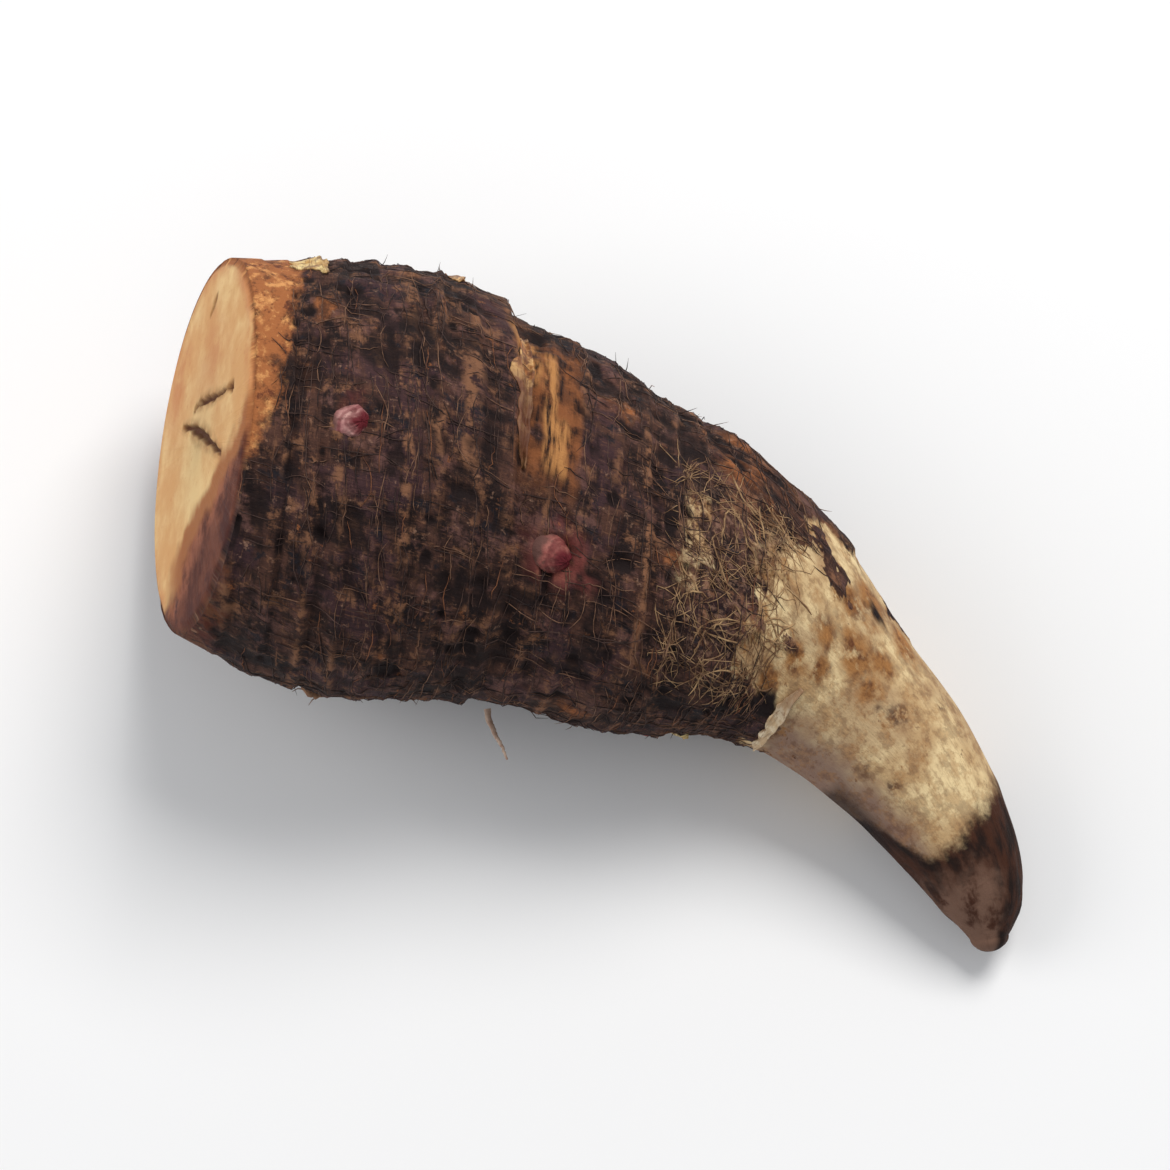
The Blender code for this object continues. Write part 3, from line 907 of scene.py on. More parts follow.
def move_vertices(mesh: bpy.types.Mesh, places: np.ndarray) -> None:
    """Puts each vertex at a place given in mm."""
    mesh.vertices.foreach_set("co", (places * MM).astype(np.float32).ravel())
    mesh.update()


def rolled_sheet(name: str, around: int, rows: int, profile: np.ndarray) -> bpy.types.Mesh:
    """A sheet rolled up into a closed tube, with each vertex's share round and along as attributes.

    Args:
        name: the mesh's name.
        around: faces in one turn.
        rows: faces along.
        profile: the radius of the rolled tube at each row's end; 0 closes it to a point.

    Returns:
        The mesh, ready to be moved into its shape.
    """
    bm = bmesh.new()
    bmesh.ops.create_grid(bm, x_segments=around, y_segments=rows, size=1.0)
    turn_layer = bm.verts.layers.float.new("turn")
    row_layer = bm.verts.layers.float.new("row")
    for vert in bm.verts:
        turn, row = (vert.co.x + 1) / 2, (vert.co.y + 1) / 2
        vert[turn_layer], vert[row_layer] = turn, row
        radius = profile[round(row * rows)]
        vert.co = (radius * math.cos(TURN * turn), radius * math.sin(TURN * turn), 2 * row)
    bmesh.ops.remove_doubles(bm, verts=bm.verts[:], dist=1e-6)
    bmesh.ops.recalc_face_normals(bm, faces=bm.faces[:])
    mesh = bpy.data.meshes.new(name)
    bm.to_mesh(mesh)
    bm.free()
    mesh.shade_smooth()
    return mesh


def read_attribute(mesh: bpy.types.Mesh, name: str) -> np.ndarray:
    """One number for each vertex."""
    values = np.empty(len(mesh.vertices), dtype=np.float32)
    mesh.attributes[name].data.foreach_get("value", values)
    return values.astype(float)


def face_outwards(mesh: bpy.types.Mesh) -> None:
    """Turns a closed mesh the right way round if its faces point in."""
    mesh.calc_loop_triangles()
    triangles = np.empty(3 * len(mesh.loop_triangles), dtype=np.int32)
    mesh.loop_triangles.foreach_get("vertices", triangles)
    places = np.empty(3 * len(mesh.vertices))
    mesh.vertices.foreach_get("co", places)
    a, b, c = (places.reshape(-1, 3)[triangles[k::3]] for k in range(3))
    if np.einsum("ij,ij->i", a, np.cross(b, c)).sum() < 0:
        mesh.flip_normals()


# ---------------------------------------------------------------------------------------------------------
# The corm
# ---------------------------------------------------------------------------------------------------------


@dataclass
class CutFace:
    """The knife cut's own places: across it and up its slope from its middle, in mm."""

    stem: Stem
    middle: tuple[float, float, float] = (-52.0, 17.0, 32.8)
    cracks: tuple[Rows, ...] = (
        ((4.3, 15.6), (4.9, 7.9), (6.2, -1.0), (6.0, -3.8)),
        ((5.2, -9.9), (3.6, -4.5), (1.4, 1.0), (-1.2, 6.5), (-4.3, 12.5)),
        ((20.8, 2.8), (18.8, 0.1)),
    )
    crack_widths: tuple[float, ...] = (0.62, 0.85, 0.5)
    taper: float = 0.5
    knot: tuple[float, float, float] = (4.3, 15.4, 1.2)
    crack_drop: float = 0.7
    shown_spread: float = 1.25
    halo_spread: float = 3.2
    slant: float = 0.476
    stains: Rows = ((13, -15, 8, 9, 1.0), (12, 4, 7, 8, 0.8))

    def axes(self) -> tuple[np.ndarray, np.ndarray]:
        """Unit directions across the cut and up its slope."""
        facing = self.stem.facing
        uphill = np.array([0.0, 0.0, 1.0]) - facing * facing[2]
        uphill /= np.linalg.norm(uphill)
        return np.cross(facing, uphill), uphill

    def stained(self, flat: np.ndarray) -> np.ndarray:
        """How far the round stains hold at each place on the cut, from 0 to 1."""
        found = np.zeros(len(flat))
        for across, uphill, wide, high, strength in self.stains:
            away = ((flat[:, 0] - across) / wide) ** 2 + ((flat[:, 1] - uphill) / high) ** 2
            found = np.maximum(found, strength * np.exp(-away))
        return found

    def crack_depth(self, spots: np.ndarray, grain: Grain, spread: float = 1.0) -> np.ndarray:
        """How deep the cracks, made spread times wider, are at each place on the cut, from 0 to 1."""
        depth = np.zeros(len(spots))
        rough = grain.layers(np.column_stack([spots, np.zeros(len(spots))]), 1.6, 3)
        for line, widest in zip(self.cracks, self.crack_widths):
            for number, (start, end) in enumerate(zip(line, line[1:])):
                a, run = np.array(start), np.array(end) - np.array(start)
                share = np.clip((spots - a) @ run / (run @ run), 0, 1)
                from_middle = np.abs(2 * (number + share) / (len(line) - 1) - 1)
                width = widest * spread * (1 - self.taper * from_middle)
                away = np.linalg.norm(spots - a - run * share[:, None], axis=1) + 0.4 * rough
                depth = np.maximum(depth, step(away, width, width * 0.35))
        away = np.linalg.norm(spots - np.array(self.knot[:2]), axis=1) + 0.3 * rough
        return np.maximum(depth, step(away, self.knot[2], self.knot[2] * 0.5))


@dataclass(frozen=True)
class Marks:
    """Marks that sit in one place. Most rows give distance along, angle in degrees and reach in mm."""

    blushes: Rows = (
        (100.5, 78, 4.6), (97.0, 60, 3.6), (94.5, 84, 3.0), (92.0, 104, 3.4), (96.5, 100, 3.0),
        (104.5, 86, 2.6), (104.0, 66, 2.4), (88.5, 122, 3.4), (99.0, 44, 4.0), (106.0, 38, 3.6),
    )
    # dark spots of painted shade in the hollows by the shoulder's lip and beside the neck
    painted_shade_spots: Rows = ((86.5, 142, 3.4), (90.5, 135, 3.0), (83.0, 148, 2.4), (100.5, 47, 1.8))
    specks: Rows = (
        (109.6, 84, 1.5), (111.8, 72, 1.2), (110.8, 79, 1.3), (112.5, 130, 1.6), (113.5, 46, 1.3),
        (107.0, 92, 0.9), (115.5, 92, 0.8), (117.0, 118, 0.9),
    )
    worn_patches: Rows = (
        (62.0, 50, 3.6), (79.0, 34, 5.4), (85.0, 44, 6.2), (80.0, 50, 4.4), (41.0, 62, 2.6),
        (23.0, 58, 3.6), (20.0, 80, 2.4), (60.0, 168, 3.6), (33.5, 156, 2.0), (70.0, 96, 2.2),
        (52.0, 250, 5.0), (30.0, 300, 4.0), (70.0, 230, 4.0), (84.0, 320, 5.0), (24.0, 200, 3.0),
    )
    # Bright strips of the band, painted highlight: start, end, softness and stray along it; middle, fading
    # and full angles.
    glowing: Rows = (
        (52.3, 53.3, 0.6, 0.5, 64, 24, 17), (52.6, 54.9, 1.1, 0.8, 77, 11, 6),
        (47.6, 50.6, 1.2, 0.6, 49, 13, 8),
    )


@dataclass
class Corm:
    """The corm itself: cut face, skin and tip in one closed mesh."""

    stem: Stem
    skin: Skin
    finish: HuskFinish = field(default_factory=HuskFinish)
    around: int = 286
    face_rows: int = 66
    tip_rows: int = 12
    body_pitch: float = 0.45
    neck_pitch: float = 0.70
    neck_from: float = 98.0
    blend_length: float = 14.0
    rim_round: float = 0.54
    tip_height: float = 0.6
    marks: Marks = field(default_factory=Marks)
    unseen: tuple[str, ...] = ("peel", "neck", "tip", "pits")

    def stations(self) -> np.ndarray:
        """Distances along of the skin's rows, closer on the husk than on the neck."""
        start = self.stem.cut_at
        body = np.arange(start, self.neck_from, self.body_pitch)
        neck = np.arange(self.neck_from, self.stem.length, self.neck_pitch)
        return np.concatenate([body, neck, [self.stem.length]])

    def build(self) -> bpy.types.Object:
        """Makes the mesh, shapes it and dresses it."""
        stations = self.stations()
        rows = self.face_rows + len(stations) - 1 + self.tip_rows
        profile = np.ones(rows + 1)
        profile[0] = profile[-1] = 0.0
        mesh = rolled_sheet("corm_detailed", self.around, rows, profile)
        angle = read_attribute(mesh, "turn") * TURN
        row = np.round(read_attribute(mesh, "row") * rows).astype(int)
        along = self.along_of(row, angle, stations)
        height, zones = self.skin.relief(along, angle)
        places = self.shape(row, angle, along, height, stations)
        places, face_zones = self.shape_face(row, places)
        places[:, 2] = np.maximum(places[:, 2], 0.0)
        move_vertices(mesh, places)
        face_outwards(mesh)
        zones.update(face_zones)
        zones.update(self.spots(along, angle, zones))
        for name in ("turn", "row"):
            mesh.attributes.remove(mesh.attributes[name])
        for name, values in zones.items():
            if name not in self.unseen:
                write_attribute(mesh, name, values)
        write_attribute(mesh, "skin", self.skin.straight(along, angle))
        piece = add_object("corm_detailed", mesh, self.finish.build())
        return adopt(piece, "husk", "corm")

    def along_of(self, row: np.ndarray, angle: np.ndarray, stations: np.ndarray) -> np.ndarray:
        """Each vertex's distance along, with the first rows drawn onto the knife cut's edge."""
        index = np.clip(row - self.face_rows, 0, len(stations) - 1)
        along = stations[index]
        turns = np.linspace(0, TURN, 361)
        starts = self.stem.cut_start(turns)
        start = np.interp(angle, turns, starts)
        fading = step(along, self.stem.cut_at + self.blend_length, self.stem.cut_at)
        return along + (start - self.stem.cut_at) * fading

    def shape(
        self, row: np.ndarray, angle: np.ndarray, along: np.ndarray, height: np.ndarray, stations: np.ndarray
    ) -> np.ndarray:
        """Places of all vertices, before the cut face is laid out.

        Args:
            row: each vertex's row.
            angle: its angle round the spine.
            along: its distance along.
            height: its relief in mm.
            stations: the skin's row distances.

        Returns:
            Places in mm.
        """
        centre, outward, radius = self.stem.envelope(along, angle)
        sunk = self.stem.lump(centre + outward * radius[:, None], radius)
        tip_row = np.clip(row - self.face_rows - len(stations) + 1, 0, self.tip_rows)
        bend = tip_row / self.tip_rows * math.pi / 2
        tangent = self.stem.frame(along)[0]
        size = (radius + height - sunk) * np.cos(bend)
        dome = self.tip_height * radius * np.sin(bend)
        return centre + outward * size[:, None] + tangent * dome[:, None]

    def shape_face(self, row: np.ndarray, places: np.ndarray) -> tuple[np.ndarray, dict[str, np.ndarray]]:
        """Lays the first rows out over the cut, and marks its cracks and stains.

        Args:
            row: each vertex's row.
            places: places so far; the face's vertices are still on its edge.

        Returns:
            The places, and the cut's zones.
        """
        cut = CutFace(self.stem)
        middle = np.array(cut.middle)
        across, uphill = cut.axes()
        share = np.clip(row / self.face_rows, 0, 1)
        offset = places - middle
        flat = np.column_stack([offset @ across, offset @ uphill]) * share[:, None]
        on_cut = row <= self.face_rows
        crack = cut.crack_depth(flat, self.skin.fine) * on_cut
        padded = np.column_stack([flat, np.zeros(len(flat))])
        swell = 0.5 * (1 - share**2) + 0.16 * self.skin.broad.layers(padded, 7.0, 3)
        rim = (offset @ self.stem.facing) * share
        depth = mix(swell, rim, step(share, 0.9, 1.0)) - cut.crack_drop * crack
        depth -= self.rim_round * step(share, 0.955, 1.0)
        laid = middle + flat[:, :1] * across + flat[:, 1:] * uphill + depth[:, None] * self.stem.facing
        places = np.where(on_cut[:, None], laid, places)
        ragged = self.skin.ragged.layers(padded, 5.0, 4)
        diagonal = flat[:, 0] - cut.slant * flat[:, 1] + 3.4 * ragged
        lower = step(diagonal, -13.0, -16.0)
        scorch = step(diagonal, -9.5, -12.8) * step(diagonal, -18.0, -14.0) * step(flat[:, 1], -16, -4)
        stain = np.maximum(cut.stained(flat), 0.9 * step(share + 0.05 * ragged, 0.86, 0.97))
        edge = step(share + 0.03 * ragged, 0.955, 0.985) * on_cut
        return places, {
            "deep": step(diagonal, -16.0, -22.0) * on_cut,
            "cut": on_cut * (1 - edge),
            "crack": cut.crack_depth(flat, self.skin.fine, cut.shown_spread) * on_cut,
            "halo": cut.crack_depth(flat, self.skin.fine, cut.halo_spread) * on_cut,
            "stain": stain,
            "browned": lower * on_cut,
            "scorch": 0.95 * scorch * on_cut,
        }

    def spots(
        self, along: np.ndarray, angle: np.ndarray, zones: dict[str, np.ndarray]
    ) -> dict[str, np.ndarray]:
        """Marks that sit in one place: blushes, stains, painted shade and highlight, and the pale end of the
        tip.
        """
        q = self.skin.straight(along, angle)
        ragged = self.skin.ragged.layers(q + 70, 2.4, 4)
        radius = self.stem.sample(along)[1]

        def near(at: float, degrees: float, reach: float, soft: float = 0.5) -> np.ndarray:
            """1 in the middle of a mark and 0 outside its ragged edge."""
            across = np.radians(angle_gap(angle, degrees)) * radius
            away = np.hypot(along - at, across) + 1.6 * ragged
            return step(away, reach, reach * (1 - soft))

        def gather(rows: Rows, soft: float) -> np.ndarray:
            """All the marks of one kind."""
            return np.max([near(*row, soft) for row in rows], axis=0)

        marks = self.marks
        # painted shade in the dark hollows and in the pits
        painted_dark_shade = np.maximum(gather(marks.painted_shade_spots, 0.5), 0.9 * zones["pits"])
        red = np.maximum(near(55.8, 109, 6.6, 0.75) * 0.95, near(27.8, 88, 3.8, 0.7) * 0.45)
        red *= step(self.skin.ragged.layers(q + 210, 2.2, 4), -0.30, 0.15)
        warm = 0.8 * gather(marks.worn_patches, 0.7)
        warm *= step(self.skin.ragged.layers(q + 250, 2.6, 4), -0.25, 0.10)
        # painted shade along the neck's lower side
        painted_shade = step(angle_gap(angle, 164) + 6 * ragged, 50, 18) * step(along, 92, 98)
        # painted shade on the neck's underside before the tip
        under = window(along + 1.5 * ragged, 113, 124, 3) * step(angle_gap(angle, 178), 36, 12)
        painted_dark_shade = np.maximum(painted_dark_shade, 0.75 * under)
        tip_pale = step(along + 2 * ragged, 128, 138) * step(angle_gap(angle, 128), 84, 36)
        low = step(angle_gap(angle, 200), 88, 52)
        # painted highlight on the band's bright strips
        painted_highlight = np.max([
            window(along + stray * ragged, start, end, soft) * step(angle_gap(angle, centre), fades, full)
            for start, end, soft, stray, centre, fades, full in marks.glowing
        ], axis=0)
        return {
            "painted_highlight": painted_highlight,
            "orange": gather(marks.blushes, 0.7),
            "painted_dark_shade": painted_dark_shade,
            "speck": 0.85 * gather(marks.specks, 0.8),
            "red": red * (1 - zones["neck"]),
            "warm": warm,
            "painted_shade": painted_shade,
            "tip_pale": tip_pale,
            "low": low,
        }


# ---------------------------------------------------------------------------------------------------------
# Fibres
# ---------------------------------------------------------------------------------------------------------


class Heading(Enum):
    """Which way a thread lies on the skin."""

    RING = "round the root"
    LENGTH = "along the root"
    NET = "any way"


@dataclass
class FibreCoat:
    """A coat of threads lying on the skin."""

    skin: Skin
    name: str
    finish: FibreFinish
    heading: Heading
    count: int
    seed: int
    start: float
    end: float
    shortest: float
    longest: float
    thickness: float
    lift: float = 0.07
    around: tuple[float, float] = (0.0, 360.0)
    wobble: float = 0.5
    points: int = 7
    stray: float = 0.06
    clumping: float = 0.0
    sway: float = 0.35
    flutter: float = 0.16
    lift_range: tuple[float, float] = (0.3, 1.6)
    loose_end: tuple[float, float] = (0.6, 2.0)
    loose_neck: tuple[float, float] = (0.2, 0.8)
    end_taper: tuple[float, float] = (0.35, 0.25)

    def routes(self) -> np.ndarray:
        """The threads' points, in mm: one row of points for each thread."""
        rng = np.random.default_rng(self.seed)
        count = self.count
        along = rng.uniform(self.start, self.end, count)
        if self.clumping > 0:
            pitch = self.skin.stem.scar_pitch
            nearest = np.round((along - self.skin.stem.first_scar) / pitch) * pitch
            along = mix(along, self.skin.stem.first_scar + nearest, self.clumping * rng.random(count))
        angle = np.radians(rng.uniform(*self.around, count))
        zones = self.skin.zones(along, angle)
        bare = ("peel", "band") if self.heading is Heading.NET else ("peel", "neck", "band")
        husk = 1 - np.max([zones[name] for name in bare], axis=0)
        on_husk = husk > 0.5
        along, angle, count = along[on_husk], angle[on_husk], int(on_husk.sum())
        length = rng.uniform(self.shortest, self.longest, count)
        heading = {
            Heading.RING: rng.normal(math.pi / 2, 0.10, count),
            Heading.LENGTH: rng.normal(0.0, 0.16, count),
            Heading.NET: rng.uniform(0, math.pi, count),
        }[self.heading]
        share = np.linspace(-0.5, 0.5, self.points)
        curl = rng.normal(0, self.wobble, (count, 1)) * share**2 * 2
        wave = rng.normal(0, self.wobble * self.flutter, (count, self.points))
        ahead = length[:, None] * share
        sideways = length[:, None] * self.sway * curl + wave
        radius = self.skin.stem.sample(along)[1][:, None]
        a = along[:, None] + ahead * np.cos(heading)[:, None] - sideways * np.sin(heading)[:, None]
        t = angle[:, None] + (ahead * np.sin(heading)[:, None] + sideways * np.cos(heading)[:, None]) / radius
        lift = self.lift * rng.uniform(*self.lift_range, (count, self.points))
        loose = rng.random(count) < self.stray
        lift[:, -1] += loose * rng.uniform(*self.loose_end, count)
        lift[:, -2] += loose * rng.uniform(*self.loose_neck, count)
        a = np.clip(a, self.start - 1.5, self.end + 3.0)
        places = self.skin.place(a.ravel(), t.ravel(), lift.ravel())
        places[:, 2] = np.maximum(places[:, 2], self.thickness)
        return places.reshape(count, self.points, 3)

    def build(self) -> bpy.types.Object:
        """Makes the threads as one curve with a round section, thinner at their ends."""
        curve = bpy.data.curves.new(self.name, "CURVE")
        curve.dimensions = "3D"
        curve.bevel_depth = self.thickness * MM / 2
        curve.bevel_resolution = 0
        curve.resolution_u = 1
        curve.use_fill_caps = True
        taper = [self.end_taper[0]] + [1.0] * (self.points - 2) + [self.end_taper[1]]
        for route in self.routes():
            line = curve.splines.new("POLY")
            line.points.add(self.points - 1)
            four = np.column_stack([route * MM, np.ones(self.points)])
            line.points.foreach_set("co", four.ravel())
            line.points.foreach_set("radius", taper)
        piece = add_object(self.name, curve, self.finish.build())
        return adopt(piece, "husk")


# ---------------------------------------------------------------------------------------------------------
# Buds, rootlets and sheath
# ---------------------------------------------------------------------------------------------------------


@dataclass
class Bud:
    """One side bud of overlapping pointed scales, leaning towards the neck."""

    skin: Skin
    number: int
    along: float
    angle: float
    radius: float
    finish: BudFinish
    stretch: float = 1.15
    sunk: float = 0.66
    lean: float = 38.0
    around: int = 84
    rows: int = 72
    scales: int = 3
    scale_turn: float = 150.0
    scale_lift: float = 0.05
    first_top: float = 0.74
    top_gap: float = 0.085
    point_drop: float = 0.16
    fullness: float = 0.85
    body_width: float = 0.90
    flattening: float = 0.15
    dents: float = 0.09
    fine_dents: float = 0.05
    foot_lift: float = 0.2

    def axis(self) -> Vector:
        """The direction the bud points: out of the skin and towards the neck."""
        straight_out = self.skin.outward(self.along, math.radians(self.angle))
        tangent = Vector(self.skin.stem.frame(np.array([self.along]))[0][0])
        forward = (tangent - straight_out * tangent.dot(straight_out)).normalized()
        lean = math.radians(self.lean)
        return straight_out * math.cos(lean) + forward * math.sin(lean)

    def scale_layers(self, turn: np.ndarray, height: np.ndarray) -> tuple[np.ndarray, np.ndarray]:
        """How many scales lie over each other, and where a pointed scale ends.

        Args:
            turn: angle round the bud, in radians.
            height: share of the way up it.

        Returns:
            The number of scales at each place, and how near a scale's edge it is, from 0 to 1.
        """
        layers = np.zeros_like(turn)
        edge = np.zeros_like(turn)
        for scale in range(self.scales):
            towards = angle_gap(turn, self.scale_turn * scale + 70 * self.number) / 180
            top = self.first_top + self.top_gap * scale - self.point_drop * towards**1.4
            layers += step(height, top + 0.012, top - 0.012)
            edge = np.maximum(edge, window(height, top, top + 0.03, 0.02))
        return layers, edge

    def build(self) -> bpy.types.Object:
        """Makes the bud in its place."""
        profile = np.sin(np.linspace(0, math.pi, self.rows + 1))
        mesh = rolled_sheet(f"bud_{self.number}_scales", self.around, self.rows, profile)
        turn, row = read_attribute(mesh, "turn") * TURN, read_attribute(mesh, "row")
        tall = math.pi * row
        grain = Grain(100 + self.number)
        spots = np.column_stack([np.cos(turn), np.sin(turn), 2 * row]) * 2
        torn = grain.layers(spots, 1.1, 3)
        layers, edge = self.scale_layers(turn, row + 0.035 * torn)
        flat = 1 - self.flattening * np.cos(2 * (turn + self.number))
        ring = np.sin(tall) ** self.fullness * (self.body_width + self.scale_lift * layers) * flat
        local = np.column_stack([ring * np.cos(turn), ring * np.sin(turn), -np.cos(tall) * self.stretch])
        local *= self.radius
        dents = self.dents * torn + self.fine_dents * grain.layers(spots * 2.5, 1.0, 3)
        local += local * dents[:, None]
        axis = self.axis()
        foot = self.skin.place(np.array([self.along]), np.array([math.radians(self.angle)]))[0]
        centre = Vector(foot) - axis * (self.sunk * self.radius - self.foot_lift)
        turned = np.array(Vector((0, 0, 1)).rotation_difference(axis).to_matrix())
        move_vertices(mesh, local @ turned.T + np.array(centre))
        face_outwards(mesh)
        write_attribute(mesh, "edge", edge)
        # painted shade towards the bud's point
        write_attribute(mesh, "point", step(row + 0.08 * torn, 0.74, 0.92))
        write_attribute(mesh, "foot", step(row + 0.16 * torn, 0.70, 0.54))
        for name in ("turn", "row"):
            mesh.attributes.remove(mesh.attributes[name])
        material = self.finish.build(f"bud_{self.number}_finish")
        piece = add_object(f"bud_{self.number}_scales", mesh, material)
        return adopt(piece, "bud", f"bud_{self.number}")


@dataclass
class Rootlet:
    """One wiry rootlet with its fine side hairs."""

    skin: Skin
    number: int
    along: float
    angle: float
    run: float
    turn: float
    rise: float
    radius: float
    finish: FibreFinish
    points: int = 26
    wave: float = 0.7
    hairs: int = 9
    unrest: float = 0.12
    bend: float = 3.0
    foot_depth: float = 0.6
    thick_to_thin: tuple[float, float] = (1.15, 0.35)
    hair_reach: float = 1.0
    hair_bend: float = 0.12
    hair_taper: tuple[float, ...] = (0.22, 0.18, 0.14, 0.06)

    def path(self) -> np.ndarray:
        """The rootlet's points, from its foot in the skin to its loose end, in mm."""
        share = np.linspace(0, 1, self.points)
        lift = self.rise * (1 - (1 - share) ** self.bend) + self.wave * share * np.sin(6 * share)
        lift -= self.foot_depth * step(share, 0.12, 0.0)
        eased = share ** ((1 + self.bend) / 2)
        along = self.along + self.run * eased
        angle = np.radians(self.angle + self.turn * eased)
        centre, outward, radius = self.skin.stem.envelope(along, angle)
        unit = outward / np.linalg.norm(outward, axis=1)[:, None]
        places = centre + outward * radius[:, None] + unit * lift[:, None]
        jitter = np.random.default_rng(400 + self.number).normal(0, self.unrest, places.shape)
        places += jitter * (share > 0.1)[:, None]
        places[:, 2] = np.maximum(places[:, 2], self.radius)
        return places

    def build(self) -> bpy.types.Object:
        """Makes the rootlet and its hairs as one curve."""
        curve = bpy.data.curves.new(f"rootlet_{self.number}_strand", "CURVE")
        curve.dimensions = "3D"
        curve.bevel_depth = self.radius * MM
        curve.bevel_resolution = 2
        curve.use_fill_caps = True
        rng = np.random.default_rng(500 + self.number)
        places = self.path()
        taper = np.linspace(*self.thick_to_thin, self.points) * rng.uniform(0.88, 1.1, self.points)
        self.add_line(curve, places, taper)
        for _ in range(self.hairs):
            first = int(rng.integers(3, self.points - 4))
            reach = rng.normal(0, self.hair_reach, 3)
            reach[2] = abs(reach[2]) * 0.6
            count = len(self.hair_taper)
            steps = np.linspace(0, 1, count)[:, None]
            hair = places[first] + reach * steps + rng.normal(0, self.hair_bend, (count, 3)) * steps
            hair[:, 2] = np.maximum(hair[:, 2], 0.05)
            self.add_line(curve, hair, np.array(self.hair_taper))
        piece = add_object(f"rootlet_{self.number}_strand", curve, self.finish.build())
        return adopt(piece, "rootlet", f"rootlet_{self.number}")

    @staticmethod
    def add_line(curve: bpy.types.Curve, places: np.ndarray, thickness: np.ndarray) -> None:
        """Adds one strand through places in mm, with its thickness at each."""
        line = curve.splines.new("POLY")
        line.points.add(len(places) - 1)
        line.points.foreach_set("co", np.column_stack([places * MM, np.ones(len(places))]).ravel())
        line.points.foreach_set("radius", thickness)


@dataclass
class SheathScrap:
    """A torn scrap of old leaf sheath, held to the skin along one edge and curling off it at the other."""

    skin: Skin
    name: str
    start: float
    end: float
    first: float
    last: float
    finish: SheathFinish
    curl: float = 0.9
    stained: tuple[float, float] = (1.0, 1.5)
    seed: int = 5
    rows: int = 14
    thickness: float = 0.22
    fewest_columns: int = 24
    columns_per_degree: float = 0.9
    held_off: float = 0.12
    near_tear: float = 0.45
    far_tear: float = 0.35

    def build(self) -> bpy.types.Object:
        """Makes the scrap."""
        columns = max(self.fewest_columns, int((self.last - self.first) * self.columns_per_degree))
        bm = bmesh.new()
        bmesh.ops.create_grid(bm, x_segments=self.rows, y_segments=columns, size=1.0)
        share = np.array([((v.co.x + 1) / 2, (v.co.y + 1) / 2) for v in bm.verts])
        u, v = share[:, 0], share[:, 1]
        grain = Grain(self.seed)
        spot = np.column_stack([v * columns / 3, np.zeros(len(v)), np.zeros(len(v))])
        taper = np.sin(math.pi * np.clip(v, 0.03, 0.97)) ** 0.6
        near = self.end - (self.end - self.start) * taper * (1 + self.near_tear * grain.layers(spot, 1.7, 4))
        far = self.end + self.far_tear * grain.layers(spot + 9, 1.3, 3)
        along = near + (far - near) * u
        angle = np.radians(self.first + (self.last - self.first) * v)
        lift = self.held_off + self.curl * u**2 * (0.6 + 0.6 * grain.layers(spot + 21, 2.5, 2))
        places = self.skin.place(along, angle, lift)
        places[:, 2] = np.maximum(places[:, 2], self.thickness)
        for vert, place in zip(bm.verts, places * MM):
            vert.co = place
        bmesh.ops.recalc_face_normals(bm, faces=bm.faces[:])
        mesh = bpy.data.meshes.new(self.name + "_torn")
        bm.to_mesh(mesh)
        bm.free()
        middle = self.skin.outward((self.start + self.end) / 2, math.radians((self.first + self.last) / 2))
        mesh.shade_smooth()
        if sum((p.normal for p in mesh.polygons), Vector()).dot(middle) < 0:
            mesh.flip_normals()
        write_attribute(mesh, "skin", self.skin.straight(along, angle))
        write_attribute(mesh, "stained", step(v, *self.stained))
        piece = add_object(self.name + "_torn", mesh, self.finish.build())
        wall = piece.modifiers.new("wall", "SOLIDIFY")
        wall.thickness = self.thickness * MM
        wall.offset = 0.0
        return adopt(piece, "sheath", self.name)


# ---------------------------------------------------------------------------------------------------------
# Studio
# ---------------------------------------------------------------------------------------------------------


